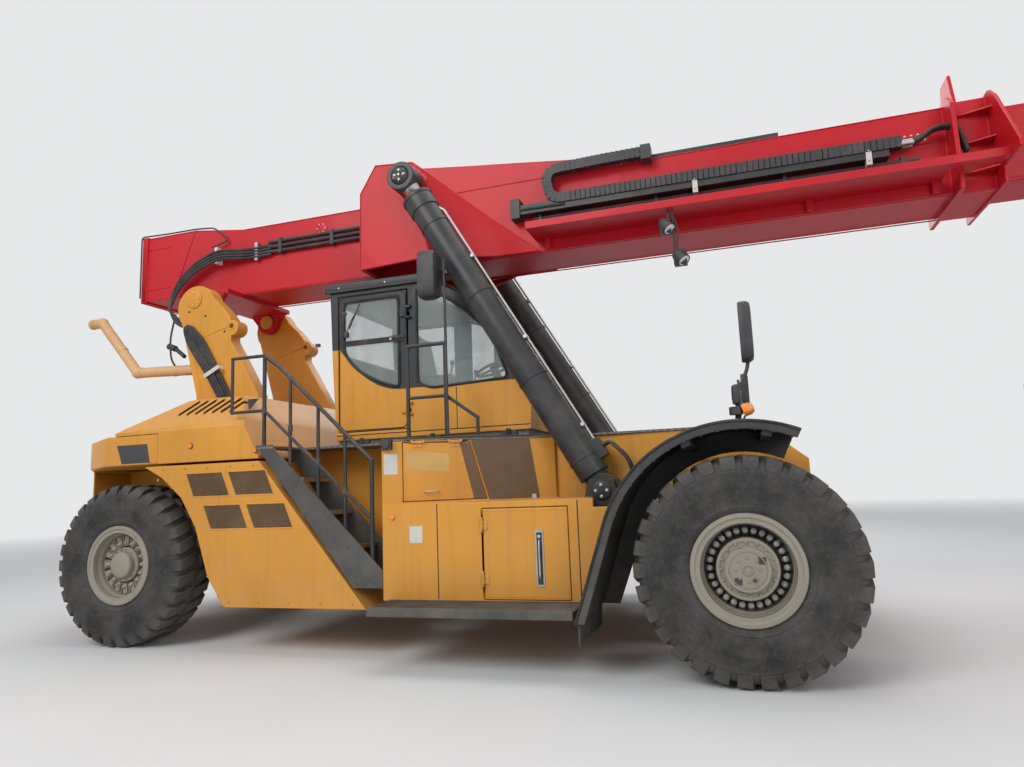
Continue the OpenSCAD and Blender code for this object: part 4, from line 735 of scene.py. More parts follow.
def shelf(name):
    """A material by its name, made when it is first asked for."""
    paint = bpy.context.scene.stacker_paint
    body, boom, trim = (tuple(c) for c in (paint.body, paint.boom, paint.trim))
    makers = {
        "amber": lambda: weathered("amber paint", body, gloss=0.4, dust=0.3, grime=0.4, rust=0.3, bleach=0.25),
        "frame": lambda: weathered("frame paint", body, gloss=0.4, dust=0.3, grime=0.4, rust=0.3, bleach=0.25,
                                   over=(tinted(trim, 0.7), foot_black)),
        "rail": lambda: weathered("rail paint", boom, gloss=0.4, dust=0.03, grime=0.22, rust=0.22, bleach=0.03,
                                  coat=0.05, low_dust=False, over=(tinted(trim, 0.7), lamp_black)),
        "brown": lambda: weathered("brown band", (0.135, 0.075, 0.035), gloss=0.45, dust=0.4, bleach=0.2),
        "red": lambda: weathered("red paint", boom, gloss=0.4, dust=0.03, grime=0.22, rust=0.22, bleach=0.03,
                                 coat=0.05, low_dust=False),
        "charcoal": lambda: weathered("charcoal paint", trim, gloss=0.5, dust=0.55, grime=0.2, bleach=0.15, coat=0),
        "black": lambda: weathered("black paint", tinted(trim, 0.8), gloss=0.36, dust=0.3, grime=0.2, bleach=0.12,
                                   low_dust=False),
        "grey": lambda: weathered("grey paint", (0.062, 0.061, 0.058), gloss=0.5, dust=0.45, grime=0.3, rust=0.8),
        "engine": lambda: weathered("engine paint", (0.12, 0.13, 0.13), gloss=0.5, dust=0.8, grime=0.8, rust=0.5),
        "rim": lambda: weathered("rim paint", tuple(paint.rim), gloss=0.5, dust=0.6, grime=0.5, rust=0.9,
                                 bleach=0.1, coat=0, low_dust=False),
        "pipe": lambda: weathered("pipe paint", (0.62, 0.36, 0.16), gloss=0.48, dust=0.4, rust=0.4, bleach=0.6,
                                  low_dust=False),
        "plate": lambda: chequer("tread plate", (0.13, 0.13, 0.13)),
        "steel": lambda: bare_metal("steel", (0.42, 0.41, 0.4), 0.36, 0.4),
        "zinc": lambda: bare_metal("zinc fasteners", (0.5, 0.49, 0.46), 0.42, 0.55),
        "chrome": lambda: chrome("plated rod"),
        "hose": lambda: rubber("hose rubber", (0.022, 0.022, 0.023), 160, 0.35, 0.55),
        "seal": lambda: rubber("seal rubber", (0.016, 0.016, 0.017), 200, 0.3, 0.6),
        "flap": lambda: rubber("flap rubber", (0.03, 0.03, 0.03), 100, 0.7, 0.75),
        "plastic": lambda: plastic("black plastic", (0.025, 0.025, 0.027), 0.45),
        "vinyl": lambda: plastic("grey vinyl", (0.06, 0.06, 0.065), 0.5, 220),
        "cloth": lambda: cloth("seat cloth", (0.05, 0.055, 0.065)),
        "liner": lambda: plastic("pale liner", (0.3, 0.3, 0.28), 0.6, 150),
        "glass": lambda: pane("cab glass", (0.42, 0.5, 0.48), 0.24),
        "front_tyre": lambda: tyre_rubber("front tyre rubber", front_axle),
        "rear_tyre": lambda: tyre_rubber("rear tyre rubber", rear_axle),
        "mesh_wire": lambda: weathered("grille wire", (0.17, 0.105, 0.055), gloss=0.6, dust=0.4, low_dust=False),
        # Cab paint: grime streaks and dust are heavier than on the body. This is partly real dirt and partly painted
        # shade of the boom's shadow falling on the cab
        "two_tone": lambda: weathered("cab paint with painted shade", body, gloss=0.38, dust=0.5, grime=0.6,
                                      over=(tinted(trim, 0.7), cab_black)),
        "mirror": lambda: Board("mirror glass").finish(colour=(0.8, 0.82, 0.84), metallic=1.0, roughness=0.03),
        "amber_lens": lambda: lens("amber lens", (0.85, 0.25, 0.02)),
        "red_lens": lambda: lens("red lens", (0.55, 0.01, 0.01)),
        "clear_lens": lambda: lens("clear lens", (0.75, 0.77, 0.78)),
        "white_film": lambda: sticker("white film", (0.62, 0.61, 0.57)),
        "yellow_film": lambda: sticker("yellow film", (0.6, 0.36, 0.1)),
        "dark_film": lambda: sticker("dark film", (0.035, 0.035, 0.036)),
        "red_film": lambda: sticker("red film", (0.5, 0.03, 0.02)),
    }
    if name not in SHELF:
        SHELF[name] = makers[name]()
    return SHELF[name]


def coat(node, name):
    """Gives a CAD node a material from the shelf."""
    slots = frame["nodes"][node].data.materials
    slots.clear()
    slots.append(shelf(name))


# The fixed frame's own nodes: each takes a finish, and most are shown as a copy with soft edges

BODY_OF = {n: body for body, nodes in frame["record"]["behaviour"]["bodies"].items() for n in nodes}
# Finish and edge radius of the nodes that are shown as softened copies
SOFTENED = {
    "main_frame": ("frame", 0.006), "boom_towers": ("amber", 0.012), "counterweight": ("amber", 0.022),
    "hood": ("amber", 0.014), "side_covers": ("amber", 0.007), "side_boxes": ("amber", 0.007),
    "right_lid": ("amber", 0.006), "left_lid": ("amber", 0.006), "right_door": ("amber", 0.006),
    "left_door": ("amber", 0.006), "front_fenders": ("charcoal", 0.005), "front_axle": ("charcoal", 0.012),
    "rear_axle": ("charcoal", 0.012), "cab_shell": ("two_tone", 0.01), "cab_roof": ("black", 0.02),
    "cab_door": ("two_tone", 0.006), "stairs": ("grey", 0.003), "base_boom": ("red", 0.008),
    "boom_knee": ("red", 0.008), "boom_rail": ("rail", 0.004), "inner_boom": ("red", 0.01),
    "boom_head": ("red", 0.008), "spreader_hanger": ("red", 0.01), "slew_carriage": ("red", 0.01),
    "spreader_frame": ("red", 0.01), "end_beam_right": ("red", 0.01), "end_beam_left": ("red", 0.01),
    "knuckle_right": ("charcoal", 0.008), "knuckle_left": ("charcoal", 0.008),
    "lift_barrel_right": ("black", 0.006), "lift_barrel_left": ("black", 0.006),
    "front_rims_right": ("rim", 0.004), "front_rims_left": ("rim", 0.004),
    "rear_rim_right": ("rim", 0.004), "rear_rim_left": ("rim", 0.004),
    "air_pipe": ("pipe", 0.0), "handrails": ("black", 0.002),
}
# Finish of the nodes that keep their own mesh
COATED = {"engine_block": "engine", "side_grilles": "brown", "walk_decks": "plate", "cab_glass": "glass",
          "door_glass": "glass", "cab_interior": "vinyl", "boom_pipes": "black"}


def flat_regions(faces):
    """Sets of neighbouring faces that lie in one plane."""
    left = set(faces.faces)
    while left:
        seed = left.pop()
        region, edge = {seed}, [seed]
        while edge:
            for side in edge.pop().edges:
                for other in side.link_faces:
                    if other in left and other.normal.dot(seed.normal) > 0.99996:
                        left.discard(other)
                        region.add(other)
                        edge.append(other)
        yield region


def is_whole(region, most=24):
    """Whether a region has one outer edge, not too many corners on it, and no holes."""
    rim = [e for f in region for e in f.edges if sum(g in region for g in e.link_faces) == 1]
    corners = {v for e in rim for v in e.verts}
    if len(rim) != len(corners) or len(rim) > most:
        return False
    links = {}
    for e in rim:
        for v in e.verts:
            links.setdefault(v, []).append(e.other_vert(v))
    seen, todo = set(), [rim[0].verts[0]]
    while todo:
        v = todo.pop()
        if v not in seen:
            seen.add(v)
            todo += links[v]
    return len(seen) == len(corners)


def welded_copy(node):
    """A CAD node's mesh with the triangles of each whole flat face merged."""
    mesh = frame["nodes"][node].data.copy()
    faces = bmesh.new()
    faces.from_mesh(mesh)
    bmesh.ops.remove_doubles(faces, verts=faces.verts, dist=2e-5)
    faces.normal_update()
    whole, holed = [], []
    for region in flat_regions(faces):
        if len(region) > 1:
            (whole if is_whole(region) else holed).append(list(region))
    bmesh.ops.join_triangles(faces, faces=[f for region in holed for f in region], angle_face_threshold=0.01,
                             angle_shape_threshold=3.1)
    for region in whole:
        bmesh.ops.dissolve_faces(faces, faces=region)
    spare = [v for v in faces.verts if len(v.link_edges) == 2 and v.calc_edge_angle(1.0) < 0.002
             and all(len(f.verts) > 3 for f in v.link_faces)]
    bmesh.ops.dissolve_verts(faces, verts=spare)
    faces.to_mesh(mesh)
    faces.free()
    mesh.polygons.foreach_set("use_smooth", [True] * len(mesh.polygons))
    mesh.polygons.foreach_set("material_index", [0] * len(mesh.polygons))
    return mesh


class STACKER_OT_paint(bpy.types.Operator):
    """Paint the fixed frame and round off its edges"""

    bl_idname = "stacker.paint"
    bl_label = "Painted frame"

    def execute(self, context):
        for node, finish in COATED.items():
            coat(node, finish)
        for node, (finish, edge) in SOFTENED.items():
            piece = placed(welded_copy(node), node + "_skin", BODY_OF[node], [finish], edge)
            if not edge:
                piece.data.set_sharp_from_angle(angle=SHARP)
            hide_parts(node)
        for name, side in SIDES.items():
            node, eye = "lift_rod_" + name, at(*LIFT_EYE)
            eye.y *= side
            piece = placed(welded_copy(node), node + "_skin", node, ["black", "chrome"])
            for face in piece.data.polygons:
                face.material_index = int((face.center - eye).length > 0.3)
            piece.data.set_sharp_from_angle(angle=SHARP)
            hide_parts(node)
        return {"FINISHED"}


# Wheels


def wheel_centre(which, side):
    """The middle of a tyre: front outer, front inner or rear."""
    low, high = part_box("rear_tyre_left")
    width = high.y - low.y
    front_low, front_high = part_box("front_tyres_left")
    y = {"front outer": front_high.y - width / 2, "front inner": front_low.y + width / 2,
         "rear": (low.y + high.y) / 2}[which]
    axle = rear_axle if which == "rear" else front_axle
    return Vector((axle.x, side * y, axle_z))


def lug_shape(radius, depth, pitch, flip):
    """One tread bar from the middle groove over the shoulder, round the Y axis at its top."""
    section = [(0.034, radius - depth - 0.016), (0.034, radius - 0.003), (0.1, radius), (0.188, radius - 0.002),
               (0.214, radius - 0.016), (0.237, radius - 0.062), (0.2445, radius - 0.1), (0.236, radius - 0.112),
               (0.19, radius - depth - 0.02)]
    half = pitch * 0.335
    points = []
    for edge in (-1, 1):
        for y, r in section:
            skew = 0.42 * pitch * max(0, 1 - y / 0.19)
            flare = 1 - 0.1 * max(0, (r - radius + depth) / depth)
            a = (edge * half * flare + skew) * flip
            points.append((r * math.sin(a), flip * y, r * math.cos(a)))
    n = len(section)
    faces = [tuple(range(n)), tuple(range(n, 2 * n))] + [(i, (i + 1) % n, n + (i + 1) % n, n + i) for i in range(n)]
    shape = Stock()
    shape.add(points, faces)
    return shape.mesh("lug")


def build_tyre(stock, centre, sizes):
    """A carcass with moulded rings, and two staggered rows of tread bars."""
    r, deep = axle_z, sizes.lug_depth
    bead = 0.202
    side = [(0.345, -bead), (0.389, -bead), (0.4, -0.208), (0.414, -0.222), (0.424, -0.229), (0.431, -0.2345),
            (0.441, -0.236), (0.447, -0.2325), (0.47, -0.239), (0.52, -0.2462), (0.566, -0.249), (0.57, -0.25),
            (0.58, -0.25), (0.584, -0.249), (0.64, -0.2475), (0.668, -0.244), (0.673, -0.2455), (0.681, -0.245),
            (0.685, -0.242), (r - 0.1, -0.2385), (r - 0.07, -0.226), (r - deep - 0.012, -0.196),
            (r - deep, -0.165), (r - deep + 0.004, -0.06)]
    profile = side + [(a, -b) for a, b in reversed(side)]
    stock.lathe(profile, centre, (0, 1, 0), 120)
    pitch = 2 * math.pi / sizes.lug_count
    for flip in (1, -1):
        ring = rule("ring").run(lug_shape(r, deep, pitch, flip), Count=sizes.lug_count, Start=0.0 if flip > 0 else 0.5)
        stock.take(ring, Matrix.Translation(centre))


class STACKER_OT_tyres(bpy.types.Operator):
    """Build the six tyres with their tread bars and moulded sidewalls"""

    bl_idname = "stacker.tyres"
    bl_label = "Tyres"

    def execute(self, context):
        sizes = context.scene.stacker_sizes
        for name, side in SIDES.items():
            pair = Stock()
            for which in ("front outer", "front inner"):
                build_tyre(pair, wheel_centre(which, side), sizes)
            piece = pair.make("front_tyres_" + name, "front_wheels_" + name, "tyre_rubber", "front_tyre")
            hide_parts("front_tyres_" + name)
            single = Stock()
            build_tyre(single, wheel_centre("rear", side), sizes)
            piece = single.make("rear_tyre_" + name, "rear_wheel_" + name, "tyre_rubber", "rear_tyre")
            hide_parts("rear_tyre_" + name)
        return {"FINISHED"}


def wedge_shape(r0, r1, wide, deep):
    """A rim clamp: a tapered block between two radii, beside the Y axis, standing along +Y."""
    shape = Stock()
    shape.prism([(r0, -wide * 0.34), (r1, -wide * 0.5), (r1, wide * 0.5), (r0, wide * 0.34)], 0, deep * 0.6,
                "Y")
    shape.prism([(r0 + 0.006, -wide * 0.2), (r1 - 0.02, -wide * 0.3), (r1 - 0.02, wide * 0.3),
                 (r0 + 0.006, wide * 0.2)], deep * 0.6, deep, "Y")
    return shape.mesh("wedge")


def rim_fittings(stock, centre, side, face, hub, count, cap, clamp=0):
    """Lock ring, stepped gutter, clamps with nuts and hub face of one outer rim; the face ring's dark kind is painted
    shade. Kinds: rim, zinc, dark, film.
    """
    out = Vector((0, side, 0))
    lip = 0.2185
    stock.lathe([(0.3195, lip - 0.05), (0.352, lip - 0.012), (0.372, lip - 0.012), (0.386, lip - 0.022),
                 (0.389, lip - 0.016), (0.389, lip + 0.004), (0.383, lip + 0.010), (0.36, lip + 0.012),
                 (0.352, lip + 0.002), (0.336, lip - 0.004), (0.33, lip - 0.024), (0.3195, lip - 0.03)],
                centre, out, 96)
    stock.lathe([(0.3195, face + 0.03), (0.3195, lip - 0.05), (0.314, lip - 0.055), (0.309, face + 0.085),
                 (0.303, face + 0.078), (0.300, face + 0.03)], centre, out, 96)
    # Face ring from the hub out to the gutter, in the dark kind: charcoal as painted shade, the shadowed inner ring of
    # the rim
    stock.lathe([(hub + 0.002, face), (0.3195, face), (0.3195, face + 0.012), (hub + 0.002, face + 0.012)], centre,
                out, 72, 2)
    place = Matrix.Translation(centre) @ out.to_track_quat("Y", "Z").to_matrix().to_4x4()
    lifted = place @ Matrix.Translation((0, face + 0.01, 0))
    stock.take(rule("ring").run(wedge_shape(hub + 0.012, 0.301, 1.55 / count, 0.05), Count=count), lifted, clamp)
    bolts_round(stock, centre + out * (face + 0.06), out, hub + 0.045, count, 1, 0.017, 0.02)
    bolts_round(stock, centre + out * (face + 0.078), out, hub + 0.045, count, 1, 0.0085, 0.016)
    for r0, r1, low, high in cap:
        stock.lathe([(r0, low), (r1, low), (r1, high - 0.006), (r1 - 0.006, high), (r0, high)], centre, out, 72)
    stem = centre + out * (face + 0.05)
    turn = Vector((math.cos(0.7), 0, math.sin(0.7)))
    stock.tube([stem + turn * 0.285, stem + turn * 0.295 + out * 0.05, stem + turn * 0.3 + out * 0.085], 0.007, 1)
    stock.rod(stem + turn * 0.3 + out * 0.085, stem + turn * 0.301 + out * 0.11, 0.010, 2, 10)


class STACKER_OT_rims(bpy.types.Operator):
    """Fit lock rings, rim clamps, nuts, hub faces and valves"""

    bl_idname = "stacker.rims"
    bl_label = "Rims and hubs"

    def execute(self, context):
        for name, side in SIDES.items():
            out = Vector((0, side, 0))
            front, rear = Stock(), Stock()
            centre = wheel_centre("front outer", side)
            rings = [(0.19, 0.214, 0.15, 0.158), (0.122, 0.132, 0.195, 0.2005), (0.03, 0.042, 0.195, 0.205)]
            rim_fittings(front, centre, side, 0.0, 0.216, 28, rings, 2)
            bolts_round(front, centre + out * 0.15, out, 0.184, 16, 0, 0.011, 0.012)
            bolts_round(front, centre + out * 0.195, out, 0.082, 8, 0, 0.009, 0.01)
            front.rod(centre + out * 0.19 + Vector((0.04, 0, -0.07)), centre + out * 0.21 + Vector((0.04, 0, -0.07)),
                      0.014, 2)
            for x, z in ((0.1, 0.062), (-0.068, -0.078)):
                plate = centre + Vector((x, side * 0.1955, z))
                front.box(plate - Vector((0.025, 0.0015, 0.025)), plate + Vector((0.025, 0.0015, 0.025)), 3)
            front.make("front_rim_fittings_" + name, "front_wheels_" + name, "rim_paint", "rim", "zinc", "charcoal",
                       "dark_film", soften=0.0015)
            centre = wheel_centre("rear", side)
            rim_fittings(rear, centre, side, 0.058, 0.171, 16, [(0.155, 0.169, 0.13, 0.137)])
            bolts_round(rear, centre + out * 0.13, out, 0.149, 12, 1, 0.010, 0.011)
            dome = [(0.128, 0.174)] + [(0.126 * math.cos(t), 0.184 + 0.022 * math.sin(t))
                                       for t in (math.pi / 2 * k / 6 for k in range(6))] + [(1e-5, 0.207)]
            rear.lathe(dome, centre, out, 48, 0, closed=False)
            rear.make("rear_rim_fittings_" + name, "rear_wheel_" + name, "rim_paint", "rim", "zinc", "charcoal",
                      soften=0.0015)
        return {"FINISHED"}


class STACKER_OT_axles(bpy.types.Operator):
    """Fit the steering cylinder, tie rods, kingpin caps and axle bolts"""

    bl_idname = "stacker.axles"
    bl_label = "Axle fittings"

    def execute(self, context):
        rear = Stock()
        x, z = rear_axle.x, axle_z
        for side in (RIGHT, LEFT):
            for dz in (0.235, -0.235):
                cap = Vector((x, side * 1.0, z + dz))
                bolts_round(rear, cap, (0, 0, 1 if dz > 0 else -1), 0.07, 6, 1, 0.011, 0.012)
        rear.rod((x + 0.19, -0.42, z + 0.05), (x + 0.19, 0.42, z + 0.05), 0.075, 0, 24)
        rear.rod((x + 0.19, -0.74, z + 0.05), (x + 0.19, 0.74, z + 0.05), 0.032, 1, 16)
        for y in (-0.42, 0.42):
            rear.rod((x + 0.19, y - 0.02, z + 0.05), (x + 0.19, y + 0.02, z + 0.05), 0.088, 0, 24)
            rear.box((x + 0.12, y - 0.05, z - 0.03), (x + 0.2, y + 0.05, z + 0.13), 0)
        rear.make("steering_cylinder", "chassis", "dark_paint", "black", "chrome", soften=0.004)
        front = Stock()
        for side in (RIGHT, LEFT):
            for end in (-0.13, 0.13):
                bolts_along(front, at(end, side * 0.62, axle_z + 0.155), at(end, side * 0.8, axle_z + 0.155),
                            (0, 0, 1), 3, 1, 0.016, 0.016)
        bolts_round(front, at(0.19, 0, axle_z), (1, 0, 0), 0.225, 16, 1, 0.014, 0.014)
        bolts_round(front, at(-0.33, 0, axle_z), (-1, 0, 0), 0.225, 16, 1, 0.014, 0.014)
        front.rod(at(-0.33, 0, axle_z), at(-0.43, 0, axle_z), 0.12, 0, 32)
        front.rod(at(-0.42, 0, axle_z), at(-0.56, 0, axle_z), 0.05, 1, 20)
        front.make("front_axle_fittings", "chassis", "dark_paint", "charcoal", "zinc", soften=0.003)
        return {"FINISHED"}


# Body


BODY_SIDE = 1.65
SLANT = [Vector((-3.0, BODY_SIDE)), Vector((-1.64, 0.80))]


def on_slant(side, along, z, out=0.0):
    """A point on the slanted face above a side box: distance along it from its rear edge, height, and how far out."""
    run = (SLANT[1] - SLANT[0]).normalized()
    p = SLANT[0] + run * along + Vector((-run.y, run.x)) * out
    return at(p.x, side * p.y, z)


def slant_patch(stock, side, corners, out, kind):
    """A thin plate on the slanted face from corners of (distance along it, height)."""
    base = [on_slant(side, s, z, -0.002) for s, z in corners]
    top = [on_slant(side, s, z, out) for s, z in corners]
    n = len(corners)
    stock.add(base + top, [tuple(range(n)), tuple(range(n, 2 * n))]
              + [(i, (i + 1) % n, n + (i + 1) % n, n + i) for i in range(n)], kind)


def face_patch(stock, side, y, corners, out, kind):
    """A thin plate on a side face from corners of (station, height)."""
    stock.prism([(front_axle.x + x, z) for x, z in corners], side * (y - 0.002), side * (y + out), "Y", kind)


def seam(stock, side, y, a, b, kind, width=0.005):
    """A shut line: a dark strip a hair above the sheet, between two points of (station, height)."""
    a, b = Vector(a), Vector(b)
    n = (b - a).normalized() * width
    n = Vector((-n.y, n.x))
    stock.prism([(front_axle.x + p.x, p.y) for p in (a - n, b - n, b + n, a + n)], side * (y - 0.001),
                side * (y + 0.0008), "Y", kind)


class STACKER_OT_panels(bpy.types.Operator):
    """Fit seams, band, latches, hinges, handles and bare plates to the body sides"""

    bl_idname = "stacker.panels"
    bl_label = "Body panels"

    def execute(self, context):
        for name, side in SIDES.items():
            fixed, lid, door = Stock(), Stock(), Stock()
            # Painted band on the slanted face: on the lid up to its front edge, and on the box ahead of it
            slant_patch(lid, side, [(0.70, 1.84), (0.787, 1.84), (0.936, 1.332), (0.82, 1.332)], 0.0012, 1)
            slant_patch(fixed, side, [(0.80, 1.862), (1.36, 1.862), (1.44, 1.31), (0.962, 1.31)], 0.0012, 1)
            slant_patch(lid, side, [(0.36, 1.39), (0.51, 1.39), (0.51, 1.43), (0.36, 1.43)], 0.003, 0)
            lid.bent([on_slant(side, 0.37, 1.41, 0.002), on_slant(side, 0.38, 1.41, 0.03),
                              on_slant(side, 0.49, 1.41, 0.03), on_slant(side, 0.50, 1.41, 0.002)], 0.015, 0.006, 2)
            slant_patch(lid, side, [(0.22, 1.61), (0.60, 1.58), (0.60, 1.74), (0.22, 1.77)], 0.0008, 3)
            slant_patch(fixed, side, [(0.02, 1.57), (0.14, 1.57), (0.14, 1.75), (0.02, 1.75)], 0.0008, 5)
            for s in (0.32, 0.66):
                bolts_along(lid, on_slant(side, s - 0.02, 1.815, 0.007), on_slant(side, s + 0.02, 1.815, 0.007),
                            on_slant(side, 0, 0, 1) - on_slant(side, 0, 0), 2, 2, 0.006, 0.006)
            lid.make("lid_fittings_" + name, name + "_lid", "yellow_paint", "amber", "brown", "zinc", "yellow_film",
                     soften=0.001)
            slant_patch(fixed, side, [(1.36, 1.31), (1.40, 1.31), (1.40, 1.35), (1.36, 1.35)], 0.02, 2)
            # Shut lines of the box's panels
            for a, b in (((-2.48, 0.52), (-2.48, 1.30)), ((-1.26, 0.52), (-1.26, 1.30))):
                seam(fixed, side, BODY_SIDE, a, b, 4)
            low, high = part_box(name + "_door")
            x1, z0, z1 = high.x - front_axle.x, low.z, high.z
            x0 = x1 - 0.725
            for z in (z0 + 0.16, z1 - 0.13):
                bolts_along(door, at(x0 + 0.03, side * 1.657, z - 0.02), at(x0 + 0.03, side * 1.657, z + 0.02),
                            (0, side, 0), 2, 2, 0.006, 0.006)
            # Long recessed handle
            hx = x1 - 0.24
            face_patch(door, side, BODY_SIDE, [(hx - 0.035, 0.62), (hx + 0.035, 0.62), (hx + 0.035, 1.07),
                                          (hx - 0.035, 1.07)], 0.006, 3)
            face_patch(door, side, BODY_SIDE, [(hx - 0.022, 0.64), (hx + 0.022, 0.64), (hx + 0.022, 1.05),
                                          (hx - 0.022, 1.05)], 0.0075, 4)
            door.bent([at(hx, side * 1.652, 0.68), at(hx, side * 1.672, 0.70), at(hx, side * 1.672, 0.97),
                               at(hx, side * 1.652, 0.99)], 0.02, 0.008, 2)
            door.rod(at(hx, side * 1.655, 1.02), at(hx, side * 1.664, 1.02), 0.014, 2)
            for a, b in (((x0 + 0.02, z0 + 0.02), (x1 - 0.02, z0 + 0.02)), ((x0 + 0.02, z1 - 0.02),
                                                                          (x1 - 0.02, z1 - 0.02))):
                face_patch(door, side, BODY_SIDE, [a, b, (b[0], b[1] + 0.004), (a[0], a[1] + 0.004)], 0.003, 0)
            door.make("door_fittings_" + name, name + "_door", "yellow_paint", "amber", "brown", "zinc", "steel",
                      "seal", soften=0.001)
            # Bare plates and films, side marker lamps and reflectors
            face_patch(fixed, side, BODY_SIDE, [(-2.74, 0.98), (-2.62, 0.98), (-2.62, 1.12), (-2.74, 1.12)], 0.0008, 5)
            fixed.cap(0.024, 0.016, at(-2.9, side * BODY_SIDE, 1.2), (0, side, 0), 24, 6)
            for x, z in ((-5.12, 1.94), (-4.36, 1.86)):
                marker = at(x, side * 1.6, z)
                fixed.cap(0.03, 0.006, marker, (0, side, 0), 24, 7)
                fixed.cap(0.024, 0.022, marker, (0, side, 0), 24, 6)
            face_patch(fixed, side, 1.6, [(-5.98, 1.80), (-5.62, 1.80), (-5.66, 1.99), (-6.05, 1.99)], 0.001, 8)
            bolts_along(fixed, at(-4.72, side * BODY_SIDE, 0.52), at(-5.46, side * BODY_SIDE, 1.62), (0, side, 0), 2, 0, 0.01)
            bolts_along(fixed, at(-5.4, side * BODY_SIDE, 1.72), at(-4.35, side * BODY_SIDE, 1.72), (0, side, 0), 5, 0, 0.009)
            bolts_along(fixed, at(-4.6, side * BODY_SIDE, 0.47), at(-3.3, side * BODY_SIDE, 0.47), (0, side, 0), 5, 0, 0.009)
            fixed.make("body_fittings_" + name, "chassis", "yellow_paint", "amber", "brown", "zinc", "steel", "seal",
                       "white_film", "amber_lens", "plastic", "dark_film", soften=0.001)
        return {"FINISHED"}


GRILLES = [(-5.13, 1.44), (-4.64, 1.44), (-4.92, 1.13), (-4.43, 1.13)]


class STACKER_OT_grilles(bpy.types.Operator):
    """Weave the wire grilles of the side covers, and set a dark sheet under the hood's slots as painted shade"""

    bl_idname = "stacker.grilles"
    bl_label = "Grilles and slots"

    def execute(self, context):
        pitch = context.scene.stacker_sizes.grille_pitch
        for name, side in SIDES.items():
            mesh, hood = Stock(), Stock()
            wide, tall, y = 0.43, 0.23, 1.643
            lean = tall * 0.42
            count = round(wide / pitch)
            upright = Stock()
            upright.prism([(-0.0028, 0), (0.0028, 0), (lean + 0.0028, tall), (lean - 0.0028, tall)], 0, 0.005, "Z")
            level = Stock()
            level.box((0, -0.0025, -0.001), (wide, 0.0025, 0.004))
            for x, z in GRILLES:
                top = at(x, side * y, z + tall)
                run, drop = Vector((1, 0, 0)), Vector((0, 0, -1))
                turn = Matrix((run, drop, Vector((0, side, 0)))).transposed().to_4x4()
                place = Matrix.Translation(top) @ turn
                mesh.take(rule("row").run(upright.mesh("wire"), Count=count, Length=wide), place, 0)
                rows = round(tall / pitch)
                for k in range(rows):
                    t = (k + 0.5) / rows
                    a = top + run * lean * t + drop * tall * t
                    mesh.slab(a + Vector((0, -0.002, -0.0025)), a + Vector((wide, 0.002, 0.0025)), 0)
                rim = [top, top + run * wide, top + run * (wide + lean) + drop * tall, top + run * lean + drop * tall]
                rim = [p + Vector((0, side * 0.004, 0)) for p in rim]
                for a, b in zip(rim, rim[1:] + rim[:1]):
                    mesh.tube([a, b], 0.008, 1, 8)
            mesh.make("wire_grilles_" + name, "chassis", "dark_paint", "mesh_wire", "amber")
            # Dark sheet under the hood's slots: painted shade, the dark engine bay seen through them
            slope = [(1.53, 2.13), (1.20, 2.41), (1.20, 2.416), (1.53, 2.136)]
            ends = [[at(x, side * y, z) for y, z in slope] for x in (-5.50, -4.64)]
            hood.add(ends[0] + ends[1], [(0, 1, 2, 3), (7, 6, 5, 4)] + [(i, (i + 1) % 4, (i + 1) % 4 + 4, i + 4)
                                                                        for i in range(4)], 0)
            hood.make("hood_slot_shade_sheet_" + name, "chassis", "dark_paint", "seal")
        return {"FINISHED"}


